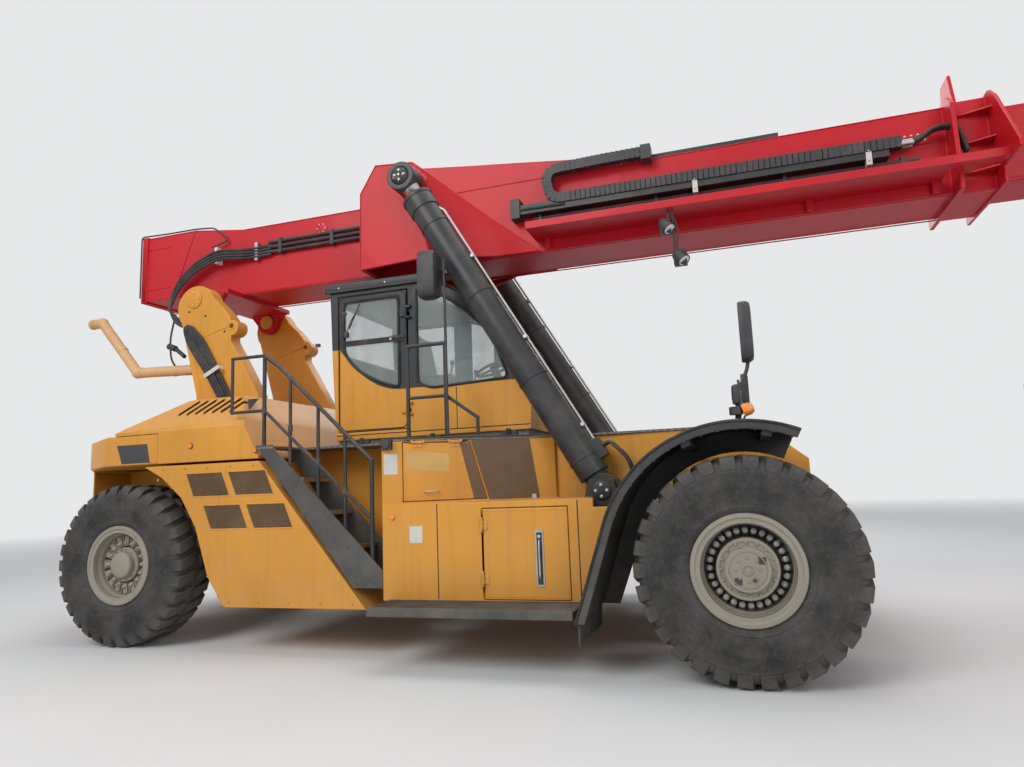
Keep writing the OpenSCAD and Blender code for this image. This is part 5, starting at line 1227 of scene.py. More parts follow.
class STACKER_OT_steps(bpy.types.Operator):
    """Lay gratings on the steps and running boards, and clamp the rails"""

    bl_idname = "stacker.steps"
    bl_label = "Steps and rails"

    def execute(self, context):
        for name, side in SIDES.items():
            part = Stock()
            tooth = Stock()
            tooth.prism([(-0.004, 0), (0.004, 0), (0.002, 0.009), (-0.002, 0.009)], -0.2, 0.2, "Y")
            for i in range(4):
                x, z = -3.03 - i * 0.26, 0.66 + i * 0.305
                row_of(part, tooth, at(x - 0.25, side * 1.42, z - 0.001), at(x - 0.02, side * 1.42, z - 0.001),
                       (0, 0, 1), 12)
                part.slab(at(x - 0.012, side * 1.2, z - 0.035), at(x + 0.003, side * 1.64, z + 0.004), 1)
                for a in (x - 0.23, x - 0.05):
                    for y, out in ((1.65, side), (1.19, -side)):
                        bolt_at(part, at(a, side * y, z - 0.015), (0, out, 0), 0, 0.008, 0.008)
            slat = Stock()
            slat.box((-0.003, -0.185, 0), (0.003, 0.185, 0.007))
            row_of(part, slat, at(-2.92, side * 1.855, 0.499), at(-1.26, side * 1.855, 0.499), (0, 0, 1), 60)
            for y in (1.668, 2.042):
                part.slab(at(-2.94, side * (y - 0.004), 0.5), at(-1.245, side * (y + 0.004), 0.512), 0)
            # Clamps where the rails meet their posts
            for x, z in ((-4.26, 2.23), (-3.97, 2.04), (-3.67, 1.72), (-3.39, 1.45)):
                part.rod(at(x, side * 1.609, z - 0.03), at(x, side * 1.609, z + 0.03), 0.023, 0, 16)
            for x in (-3.97, -3.67, -3.39):
                z = 2.52 - (x + 3.97) * -0.963
                part.rod(at(x, side * 1.609, z - 0.02), at(x, side * 1.609, z + 0.006), 0.024, 0, 16)
            for x, y, z in ((-4.26, 1.609, 1.886), (-2.95, 1.2, 1.886), (-2.56, 1.2, 1.886), (-2.27, 1.15, 1.886)):
                part.cap(0.045, 0.014, at(x, side * y, z), (0, 0, 1), 24, 0)
                bolts_round(part, at(x, side * y, z + 0.008), (0, 0, 1), 0.035, 4, 2, 0.006, 0.006)
            part.make("step_fittings_" + name, "chassis", "grey_paint", "grey", "steel", "zinc")
            deck = Stock()
            edge = [at(-4.32, side * 1.645, 1.89), at(-4.135, side * 1.645, 1.89)]
            deck.tube(edge, 0.007, 0, 8)
            deck.tube([on_slant(side, 0.02, 1.89), on_slant(side, 1.4, 1.89)], 0.007, 0, 8)
            bolts_along(deck, at(-4.25, side * 1.3, 1.885), at(-4.25, side * 1.55, 1.885), (0, 0, 1), 3, 1, 0.009)
            bolts_along(deck, at(-2.8, side * 1.1, 1.885), at(-1.9, side * 0.88, 1.885), (0, 0, 1), 5, 1, 0.009)
            lamp = on_slant(side, 0.06, 1.84, 0.0)
            deck.slab(lamp + Vector((-0.05, -0.01, -0.055)), lamp + Vector((0.05, side * 0.045, 0.035)), 2)
            deck.cap(0.036, 0.012, lamp + Vector((0, side * 0.045, -0.01)), (0, side, 0), 24, 3)
            deck.make("deck_fittings_" + name, "chassis", "dark_paint", "charcoal", "zinc", "plastic", "dark_film",
                      soften=0.002)
        return {"FINISHED"}


class STACKER_OT_fenders(bpy.types.Operator):
    """Bind the fenders' edges and hang their flaps"""

    bl_idname = "stacker.fenders"
    bl_label = "Fenders"

    def execute(self, context):
        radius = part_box("front_fenders")[1].z - axle_z
        for name, side in SIDES.items():
            part = Stock()
            arc = [at(math.cos(a) * radius, side * 2.081, axle_z + math.sin(a) * radius)
                   for a in (math.radians(66 + 94 * k / 40) for k in range(41))]
            arc.append(at(-1.219, side * 2.081, 0.425))
            part.tube([p + Vector((0, 0, -0.006)) for p in arc], 0.011, 0, 8)
            inner = [at(math.cos(a) * (radius - 0.062), side * 2.082, axle_z + math.sin(a) * (radius - 0.062))
                     for a in (math.radians(68 + 88 * k / 12) for k in range(13))]
            for p in inner:
                bolt_at(part, p, (0, side, 0), 2, 0.009, 0.008)
            for deg in (78, 112):
                a = math.radians(deg)
                spot = Vector((math.cos(a), 0, math.sin(a))) * (radius - 0.004)
                bolts_along(part, at(0, side * 1.25, axle_z) + spot, at(0, side * 1.95, axle_z) + spot,
                            (math.cos(a), 0, math.sin(a)), 5, 1, 0.011)
            part.make("fender_fittings_" + name, "chassis", "dark_paint", "seal", "zinc", "charcoal")
            flap = Stock()
            flap.prism([(front_axle.x - 1.214, 0.43), (front_axle.x - 1.188, 0.43), (front_axle.x - 1.2, 0.26),
                        (front_axle.x - 1.212, 0.26)], side * 1.2, side * 2.04, "Y")
            flap.make("fender_flap_" + name, "chassis", "soft_black", "flap", soften=0.003)
        return {"FINISHED"}


# Cab

CAB_SIDE = 0.772
DOOR_WINDOW = [(-3.90, 2.92), (-3.84, 2.80), (-3.71, 2.67), (-3.50, 2.55), (-3.255, 2.47), (-3.255, 3.44),
               (-3.905, 3.44)]
SIDE_WINDOW = [(-3.05, 2.5), (-2.9, 2.44), (-2.08, 2.48), (-2.24, 2.93), (-2.54, 3.23), (-2.9, 3.48), (-3.05, 3.48)]
SCREEN = [(-1.985, 2.486), (-2.15, 2.93), (-2.462, 3.29), (-2.835, 3.522)]


def window_trim(stock, side, outline, y, kind, r=0.014):
    """A rubber seal round a window on a side of the cab."""
    ring = [at(x, side * y, z) for x, z in outline]
    ring = rounded([ring[0].lerp(ring[-1], 0.5)] + ring + [ring[0].lerp(ring[-1], 0.5)], 0.07)
    stock.tube(ring, r, kind, 8)


class STACKER_OT_cab(bpy.types.Operator):
    """Fit the cab's seals, handle, wipers, lamps, roof ribs and base"""

    bl_idname = "stacker.cab"
    bl_label = "Cab fittings"

    def execute(self, context):
        cab, door = Stock(), Stock()
        for side in (RIGHT, LEFT):
            window_trim(cab, side, SIDE_WINDOW, CAB_SIDE, 0)
            # Moulded waist seam and sill
            cab.tube([at(-2.63, side * 0.771, 2.02), at(-2.63, side * 0.771, 2.43)], 0.004, 0, 6)
            cab.tube([at(-3.99, side * 0.771, 2.012), at(-1.88, side * 0.771, 2.012)], 0.005, 0, 6)
            for x in (-3.7, -2.9, -2.1):
                cab.slab(at(x - 0.08, side * 0.70, 1.90), at(x + 0.08, side * 0.765, 1.962), 1)
                cab.rod(at(x, side * 0.752, 1.89), at(x, side * 0.752, 1.98), 0.03, 0, 16)
            # Gutter along the roof, with its bolts
            cab.tube([at(-4.12, side * 0.792, 3.56), at(-2.82, side * 0.792, 3.56)], 0.013, 1, 8)
            for x in (-3.95, -3.4, -2.95):
                bolt_at(cab, at(x, side * 0.79, 3.6), (0, side, 0), 2, 0.008, 0.006)
        window_trim(cab, LEFT, DOOR_WINDOW, CAB_SIDE, 0)
        for y in (-0.682, 0.682):
            cab.tube([at(x, y, z) + Vector((0.012, 0, 0.008)) for x, z in SCREEN], 0.013, 0, 8)
        for x, z in SCREEN:
            cab.tube([at(x + 0.012, -0.682, z + 0.008), at(x + 0.012, 0.682, z + 0.008)], 0.013, 0, 8)
        # Windscreen wiper and roof window wiper
        for y, a, b in ((0.12, (-1.93, 2.45), (-2.13, 2.9)), (0.0, (-2.86, 3.52), (-2.52, 3.31))):
            foot = at(a[0] + 0.03, y, a[1])
            cab.rod(foot - Vector((0.05, 0, 0)), foot + Vector((0.02, 0, 0)), 0.024, 1, 16)
            tip = at(b[0] + 0.03, y - 0.25, b[1])
            cab.tube([foot, foot.lerp(tip, 0.5) + Vector((0.012, 0, 0.01)), tip], 0.008, 1, 8)
            cab.tube([tip + Vector((0.004, -0.02, -0.2)), tip, tip + Vector((-0.07, 0.02, 0.17))], 0.009, 0, 6)
        # Work lamps on the roof, and the beacon
        for y in (-0.55, 0.55):
            cab.box(at(-2.88, y - 0.02, 3.63), at(-2.84, y + 0.02, 3.69), 1)
            cab.box(at(-2.89, y - 0.085, 3.68), at(-2.81, y + 0.085, 3.80), 1)
            cab.cap(0.052, 0.014, at(-2.81, y, 3.74), (1, 0, 0), 24, 3)
        cab.cap(0.075, 0.03, at(-3.9, 0.0, 3.648), (0, 0, 1), 28, 1)
        cab.lathe([(1e-5, 0), (0.055, 0), (0.055, 0.08), (0.042, 0.105), (1e-5, 0.115)], at(-3.9, 0, 3.677), (0, 0, 1),
                  28, 4, closed=False)
        # Roof ribs and hatch
        for y in (-0.5, -0.25, 0.25, 0.5):
            cab.box(at(-3.75, y - 0.02, 3.645), at(-3.1, y + 0.02, 3.659), 1)
        cab.box(at(-3.7, -0.2, 3.645), at(-3.15, 0.2, 3.664), 1)
        # Slats of the cooler's grille at the cab's rear
        slot = Stock()
        slot.box((-0.006, -0.28, 0), (0.006, 0.28, 0.008))
        row_of(cab, slot, at(-4.035, 0, 2.15), at(-4.03, 0, 2.6), (-1, 0, 0), 14, 1)
        cab.make("cab_fittings", "chassis", "black_paint", "seal", "plastic", "zinc", "clear_lens", "amber_lens",
                 soften=0.002)
        window_trim(door, RIGHT, DOOR_WINDOW, CAB_SIDE, 0, 0.016)
        door.slab(at(-3.9, -0.779, 2.958), at(-3.26, -0.758, 3.012), 0)
        edge = [(-3.955, 2.06), (-3.955, 3.49), (-3.175, 3.49), (-3.175, 2.06)]
        window_trim(door, RIGHT, edge, 0.7705, 0, 0.006)
        # Handle and lock on the bar between the panes
        door.slab(at(-3.33, -0.784, 2.955), at(-3.20, -0.769, 3.02), 1)
        door.bent([at(-3.31, -0.78, 2.985), at(-3.31, -0.82, 2.985), at(-3.22, -0.82, 2.985),
                           at(-3.22, -0.78, 2.985)], 0.02, 0.009, 1)
        door.cap(0.014, 0.008, at(-3.345, -0.779, 2.985), (0, -1, 0), 20, 2)
        # Wiper at the rear of the upper pane
        foot = at(-3.86, -0.78, 3.08)
        door.slab(foot + Vector((-0.02, 0.01, -0.03)), foot + Vector((0.02, -0.03, 0.03)), 1)
        door.tube([foot - Vector((0, 0.025, 0)), at(-3.80, -0.80, 3.22), at(-3.73, -0.79, 3.33)], 0.006, 1, 8)
        door.tube([at(-3.83, -0.785, 3.14), at(-3.70, -0.785, 3.40)], 0.007, 0, 6)
        door.make("door_trim", "cab_door", "black_paint", "seal", "plastic", "zinc", soften=0.002)
        return {"FINISHED"}


def cushion(name, low, high, crown, body, finish):
    """A crowned pad with pulled-in sides, between two corners."""
    low, high = Vector(low), Vector(high)
    centre, half = (low + high) / 2, (high - low) / 2
    faces = bmesh.new()
    bmesh.ops.create_cube(faces, size=2)
    bmesh.ops.subdivide_edges(faces, edges=faces.edges, cuts=9, use_grid_fill=True)
    for v in faces.verts:
        u, w, t = v.co
        swell = (1 - u ** 4) * (1 - w ** 4)
        pinch = 1 - 0.04 * abs(t) ** 3
        groove = 0.3 * math.exp(-((abs(w) - 0.58) / 0.07) ** 2) if t > 0.5 else 0
        rise = crown * (swell - groove) if t > 0.5 else 0
        v.co = centre + Vector((u * pinch * half.x, w * pinch * half.y, t * half.z + rise))
    mesh = bpy.data.meshes.new(name)
    faces.to_mesh(mesh)
    faces.free()
    mesh.polygons.foreach_set("use_smooth", [True] * len(mesh.polygons))
    piece = placed(mesh, name, body, [finish])
    round_off = piece.modifiers.new("round", "SUBSURF")
    round_off.levels = round_off.render_levels = 1
    return piece


class STACKER_OT_seat(bpy.types.Operator):
    """Fit the seat, its cushions, the armrests, wheel hub, screen and levers"""

    bl_idname = "stacker.seat"
    bl_label = "Seat and controls"

    def execute(self, context):
        seat_z = 2.44
        pad = cushion("seat_cushion", at(-3.34, -0.25, seat_z - 0.02), at(-2.83, 0.25, seat_z + 0.09), 0.03,
                      "chassis", "cloth")
        back = cushion("seat_back", (-0.06, -0.235, -0.34), (0.06, 0.235, 0.34), 0.0, "chassis", "cloth")
        for v in back.data.vertices:
            x, y, z = v.co
            bow = 0.03 * (1 - (z / 0.34) ** 2) + 0.02 * (y / 0.235) ** 2
            narrow = 1 - 0.12 * (z > 0.1) * z / 0.34
            v.co = at(-3.37 - 0.22 * (z + 0.34) + x + (bow if x > 0 else 0), y * narrow, seat_z + 0.42 + z)
        head = cushion("seat_headrest", at(-3.58, -0.13, seat_z + 0.80), at(-3.47, 0.13, seat_z + 0.97), 0.0,
                       "chassis", "cloth")
        part = Stock()
        for y in (-0.05, 0.05):
            part.rod(at(-3.5, y, seat_z + 0.66), at(-3.52, y, seat_z + 0.84), 0.008, 1)
        part.bent([at(-3.3, -0.17, 2.03), at(-3.1, -0.17, 2.14), at(-3.3, -0.17, 2.25), at(-3.1, -0.17, 2.33)],
                          0.04, 0.02, 0)
        for y in (-0.35, 0.35):
            part.box(at(-3.16, y - 0.05, seat_z + 0.155), at(-2.84, y + 0.05, seat_z + 0.19), 0)
            part.rod(at(-2.86, y, seat_z + 0.19), at(-2.84, y, seat_z + 0.29), 0.01, 0)
            part.lathe([(1e-5, 0), (0.02, 0.004), (0.026, 0.03), (0.02, 0.055), (1e-5, 0.062)],
                       at(-2.84, y, seat_z + 0.28), (0, 0, 1), 20, 0, closed=False)
        # Wheel hub, column shroud, screen on its stalk
        hub = at(-2.49, 0, seat_z + 0.28)
        part.cap(0.05, 0.03, hub, (-0.34, 0, 0.94), 24, 0)
        part.slab(at(-2.25, -0.16, 2.02), at(-2.1, 0.16, 2.45), 0)
        part.tube([at(-2.16, -0.42, 2.03), at(-2.2, -0.42, 2.6), at(-2.24, -0.42, 2.7)], 0.014, 0)
        part.slab(at(-2.30, -0.54, 2.66), at(-2.26, -0.30, 2.86), 0)
        part.slab(at(-2.303, -0.52, 2.68), at(-2.299, -0.32, 2.84), 2)
        for y in (-0.12, 0.04, 0.14):
            part.slab(at(-2.36, y - 0.03, 2.03), at(-2.28, y + 0.03, 2.17), 1)
        # Sun blinds rolled down behind the side windows, and the lining of the roof
        part.box(at(-3.95, -0.66, 3.45), at(-2.95, 0.66, 3.485), 3)
        part.box(at(-3.99, -0.6, 2.05), at(-3.955, 0.6, 2.86), 3)
        for side in (RIGHT, LEFT):
            part.rod(at(-3.02, side * 0.70, 3.44), at(-2.62, side * 0.70, 3.3), 0.02, 3)
        part.make("cab_controls", "chassis", "soft_black", "plastic", "zinc", "dark_film", "liner", soften=0.003)
        return {"FINISHED"}


def mirror_head(stock, low, high, face):
    """A mirror's rounded shell with its glass on one face. Kinds: plastic, mirror."""
    low, high = Vector(low), Vector(high)
    centre, half = (low + high) / 2, (high - low) / 2
    rings = []
    steps = 28
    for depth, grow in ((-1, 0.80), (-0.9, 0.93), (-0.4, 1.0), (0.75, 1.0), (0.95, 0.96), (0.96, 0.88), (0.86, 0.86)):
        ring = []
        for k in range(steps):
            a = 2 * math.pi * k / steps
            c, s = math.cos(a), math.sin(a)
            u = math.copysign(abs(c) ** 0.45, c) * half.y * grow
            w = math.copysign(abs(s) ** 0.45, s) * half.z * grow
            ring.append(centre + Vector((face * depth * half.x, u, w)))
        rings.append(ring)
    n = len(rings)
    faces = [(i * steps + k, i * steps + (k + 1) % steps, (i + 1) * steps + (k + 1) % steps, (i + 1) * steps + k)
             for i in range(n - 1) for k in range(steps)]
    points = [p for ring in rings for p in ring]
    stock.add(points, faces + [tuple(range(steps))], 0)
    stock.add(rings[-1], [tuple(range(steps))], 1)


class STACKER_OT_mirrors(bpy.types.Operator):
    """Build the mirrors with rounded heads, arms, poles and marker lamps"""

    bl_idname = "stacker.mirrors"
    bl_label = "Mirrors"

    def execute(self, context):
        part = Stock()
        for side in (RIGHT, LEFT):
            foot = at(0.01, side * 1.93, axle_z + 1.03)
            part.box(foot + Vector((-0.06, -0.055, -0.004)), foot + Vector((0.06, 0.055, 0.012)), 0)
            bolts_round(part, foot + Vector((0, 0, 0.012)), (0, 0, 1), 0.05, 4, 2, 0.008, 0.008)
            part.bent([foot, foot + Vector((0.02, 0, 0.2)), foot + Vector((0.11, 0, 0.4)),
                               foot + Vector((0.11, 0, 0.74))], 0.06, 0.0135, 0, 12)
            part.bent([foot + Vector((0.02, side * 0.03, 0)), foot + Vector((0.04, side * 0.03, 0.16)),
                               foot + Vector((0.03, 0, 0.3))], 0.05, 0.01, 0, 10)
            part.lathe([(0.012, 0), (0.03, 0.01), (0.034, 0.05), (0.034, 0.1), (0.03, 0.14), (0.012, 0.15)],
                       foot + Vector((0.01, 0, 0.12)), (0, 0, 1), 20, 0)
            mirror_head(part, at(0.075, side * 1.94 - 0.1, 2.25), at(0.165, side * 1.94 + 0.1, 2.69), -1)
            part.rod(foot + Vector((0, side * 0.06, 0.045)), foot + Vector((0, side * 0.06, 0.1)), 0.048, 0, 24)
            part.lathe([(1e-5, 0), (0.046, 0.0), (0.044, 0.05), (0.03, 0.075), (1e-5, 0.08)],
                       foot + Vector((0.045, side * 0.06, 0.07)), (1, 0, 0.3), 24, 3, closed=False)
        # Tall mirror on the pole beside the cab
        part.tube([at(-2.535, -1.235, 1.886), at(-2.535, -1.235, 3.6)], 0.013, 0, 12)
        part.cap(0.04, 0.012, at(-2.535, -1.235, 1.886), (0, 0, 1), 24, 0)
        part.tube([at(-2.535, -1.235, 3.5), at(-2.61, -1.235, 3.5)], 0.01, 0)
        mirror_head(part, at(-2.775, -1.34, 3.22), at(-2.595, -1.13, 3.69), -1)
        piece = part.make("mirror_set", "chassis", "black_paint", "plastic", "mirror", "zinc", "amber_lens")
        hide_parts("mirrors")
        return {"FINISHED"}


# Rear of the machine


class STACKER_OT_tail(bpy.types.Operator):
    """Fit the tail lamps, grille, hitch, pipe clamps and tower fittings"""

    bl_idname = "stacker.tail"
    bl_label = "Tail and towers"

    def execute(self, context):
        part = Stock()
        x = -7.3
        for side in (RIGHT, LEFT):
            for y, kind in ((0.50, 4), (0.42, 3), (0.34, 5)):
                part.slab(at(x - 0.012, side * (y - 0.035), 1.86), at(x + 0.01, side * (y + 0.035), 1.94), 1)
                part.cap(0.03, 0.016, at(x - 0.01, side * y, 1.90), (-1, 0, 0), 24, kind)
            part.slab(at(x - 0.004, side * 0.62, 0.8), at(x + 0.01, side * 0.70, 1.7), 6)
            bolts_along(part, at(x, side * 0.66, 0.86), at(x, side * 0.66, 1.66), (-1, 0, 0), 3, 2, 0.02, 0.02)
            part.bent([at(-6.5, side * 0.55, 2.08), at(-6.5, side * 0.55, 2.16),
                               at(-6.7, side * 0.55, 2.16), at(-6.7, side * 0.55, 2.08)], 0.03, 0.016, 0)
        # Tow pin in its jaw, rear grille in the counterweight's wall
        for z in (0.93, 1.05):
            part.box(at(x - 0.1, -0.09, z), at(x + 0.01, 0.09, z + 0.03), 0)
        part.rod(at(x - 0.06, 0, 0.9), at(x - 0.06, 0, 1.13), 0.022, 7, 20)
        slat = Stock()
        slat.box((-0.012, -0.36, 0), (0.012, 0.36, 0.014))
        row_of(part, slat, at(x, 0, 1.2), at(x, 0, 1.62), (-1, 0, 0), 13, 1)
        part.box(at(x - 0.008, -0.40, 1.17), at(x + 0.01, -0.36, 1.66), 0)
        part.box(at(x - 0.008, 0.36, 1.17), at(x + 0.01, 0.40, 1.66), 0)
        part.make("tail_fittings", "chassis", "yellow_paint", "amber", "plastic", "zinc", "red_lens", "amber_lens",
                  "clear_lens", "red_film", "steel", soften=0.003)
        tower = Stock()
        for side in (RIGHT, LEFT):
            y = side * 0.795
            tower.cap(0.105, 0.02, at(-5.85, y, 3.7), (0, side, 0), 40, 0)
            bolts_round(tower, at(-5.85, side * 0.813, 3.7), (0, side, 0), 0.07, 4, 1, 0.011, 0.01)
            tower.lathe([(0.03, 0), (0.05, 0), (0.048, 0.006), (0.03, 0.006)], at(-5.329, y, 3.336), (0, side, 0), 28)
            for a, b in ((-5.92, 3.56), (-5.69, 3.49), (-5.42, 3.28)):
                tower.cap(0.014, 0.003, at(a, y, b), (0, side, 0), 14, 3)
            # Weld beads along the towers' edges and the seam on their heads
            for bead in ([(-5.02, 2.45), (-5.19, 2.85), (-5.29, 3.02), (-5.37, 3.17)],
                         [(-5.66, 2.2), (-5.72, 2.6), (-5.87, 3.16), (-5.94, 3.5)],
                         [(-5.88, 3.76), (-5.80, 3.62), (-5.74, 3.48), (-5.77, 3.38)]):
                tower.tube([at(a, y, b) for a, b in bead], 0.006, 0, 6)
        # Straps that hold the air pipe
        for p, q in (((-6.15, 2.90), (-6.19, 2.902)), ((-6.95, 3.2), (-6.97, 3.225)), ((-6.63, 2.922), (-6.67, 2.924))):
            a, b = at(p[0], -0.72, p[1]), at(q[0], -0.72, q[1])
            tower.rod(a, b, 0.0625, 2, 28)
        tower.lathe([(0.045, 0), (0.061, 0), (0.064, 0.02), (0.061, 0.04), (0.045, 0.04)], at(-7.42, -0.72, 3.59),
                    (-1, 0, 0), 28, 2)
        tower.make("tower_fittings", "chassis", "yellow_paint", "amber", "zinc", "pipe", "seal", soften=0.002)
        return {"FINISHED"}


# Boom


class STACKER_OT_boom(bpy.types.Operator):
    """Fit flanges, stiffeners, welds, pads and lamps to the boom"""

    bl_idname = "stacker.boom"
    bl_label = "Boom fittings"

    def execute(self, context):
        part = Stock()
        # Raised flange round the rear end, on its four sides
        for side in (RIGHT, LEFT):
            part.slab(at(-6.882, side * 0.53, 3.83), at(-6.80, side * 0.556, 4.665), 0)
            for z in (3.99, 4.5):
                part.tube([at(-6.79, side * 0.5425, z), at(-6.45, side * 0.5425, z)], 0.005, 0, 6)
            part.tube([at(-6.8, side * 0.541, 4.649), at(-6.09, side * 0.541, 4.649), at(-5.55, side * 0.341, 4.649),
                       at(2.0, side * 0.341, 4.649)], 0.007, 0, 6)
            part.tube([at(-5.88, side * 0.341, 3.831), at(2.0, side * 0.341, 3.831)], 0.007, 0, 6)
            part.tube([at(-6.41, side * 0.541, 3.85), at(-6.095, side * 0.541, 4.64)], 0.005, 0, 6)
            # Cover over the slide pads' access hole
            part.cap(0.075, 0.014, at(-4.45, side * 0.338, 4.5), (0, side, 0), 32, 0)
            bolts_round(part, at(-4.45, side * 0.348, 4.5), (0, side, 0), 0.055, 6, 1, 0.009, 0.008)
            # Adjusting pads of the slides near the front collar
            for z in (4.1, 4.4):
                part.slab(at(1.62, side * 0.338, z - 0.06), at(1.86, side * 0.356, z + 0.06), 0)
                bolts_along(part, at(1.66, side * 0.356, z - 0.03), at(1.82, side * 0.356, z - 0.03), (0, side, 0), 4,
                            1, 0.009, 0.01)
                bolts_along(part, at(1.66, side * 0.356, z + 0.03), at(1.82, side * 0.356, z + 0.03), (0, side, 0), 4,
                            1, 0.009, 0.01)
        for z in (3.83, 4.65):
            part.box(at(-6.882, -0.556, z), at(-6.80, 0.556, z + 0.016), 0)
        for y in (-0.2, 0.2):
            part.tube([at(-6.79, y, 4.651), at(-3.75, y, 4.651)], 0.004, 0, 6)
        # Stiffeners of the front collar
        for side in (RIGHT, LEFT):
            for z in (3.98, 4.25, 4.52):
                part.prism([(front_axle.x + 2.01, 0.362 * side), (front_axle.x + 2.335, 0.362 * side),
                            (front_axle.x + 2.335, 0.50 * side)], z, z + 0.014, "Z", 0)
            bolts_along(part, at(2.352, side * 0.47, 3.95), at(2.352, side * 0.47, 4.5), (1, 0, 0), 6, 1, 0.014, 0.012)
        bolts_along(part, at(2.352, -0.3, 4.67), at(2.352, 0.3, 4.67), (1, 0, 0), 6, 1, 0.014, 0.012)
        part.make("boom_fittings", "boom", "red_paint", "red", "zinc", soften=0.002)
        knee = Stock()
        for side in (RIGHT, LEFT):
            y = side * 0.787
            knee.lathe([(0.10, 0), (0.155, 0), (0.155, 0.01), (0.15, 0.016), (0.10, 0.016)], at(-3.06, y, 4.6),
                       (0, side, 0), 48, 0)
            edge = [(-3.69, 3.79), (-3.68, 4.61), (-3.495, 4.905), (-3.07, 4.866), (-2.885, 4.72), (-2.885, 3.82)]
            knee.tube([at(a, y, b) for a, b in edge], 0.006, 0, 6)
            knee.tube([at(a, side * 0.345, b) for a, b in ((-3.66, 3.85), (-3.66, 4.6))], 0.006, 0, 6)
        knee.make("knee_fittings", "boom", "red_paint", "red", soften=0.002)
        # Two work lamps under the rail, with their lead
        lamps = Stock()
        for x, z in ((-0.48, 3.79), (-0.37, 3.47)):
            base = at(x, -0.70, z)
            lamps.lathe([(1e-5, -0.075), (0.05, -0.07), (0.062, -0.03), (0.066, 0.05), (0.06, 0.056), (0.056, 0.05),
                         (1e-5, 0.046)], base, (0.55, -0.35, -0.75), 28, 0, closed=False)
            lamps.cap(0.055, 0.008, base + Vector((0.55, -0.35, -0.75)).normalized() * 0.046,
                        (0.55, -0.35, -0.75), 28, 1)
        lamps.bent([at(-0.48, -0.70, 3.83), at(-0.40, -0.74, 3.85), at(-0.37, -0.73, 3.70),
                            at(-0.40, -0.72, 3.60), at(-0.37, -0.70, 3.50)], 0.05, 0.007, 2)
        lamps.make("boom_lamps", "boom", "black_paint", "plastic", "clear_lens", "hose", soften=0.002)
        inner, x = Stock(), spreader_x
        for side in (RIGHT, LEFT):
            inner.tube([at(2.4, side * 0.2855, 3.93), at(x - 0.61, side * 0.2855, 3.93)], 0.006, 0, 6)
            for z in (4.0, 4.3):
                bolts_along(inner, at(x - 0.5985, side * 0.27, z), at(x - 0.5985, side * 0.27, z + 0.15), (1, 0, 0), 2,
                            1, 0.012, 0.012)
            inner.cap(0.1, 0.03, at(x, side * 0.334, 3.6), (0, side, 0), 36, 0)
            bolts_round(inner, at(x, side * 0.364, 3.6), (0, side, 0), 0.06, 6, 1, 0.011, 0.01)
            inner.cap(0.036, 0.012, at(x - 0.35, side * 0.335, 4.2), (0, side, 0), 28, 0)
        inner.make("boom_head_fittings", "inner_boom", "red_paint", "red", "zinc", soften=0.002)
        return {"FINISHED"}


# Ends of the hose bundle that crosses the pivot: on the boom and on the tower
PIVOT_HOSE = [(-6.36, -0.61, 3.84), (-5.93, -0.80, 3.36)]


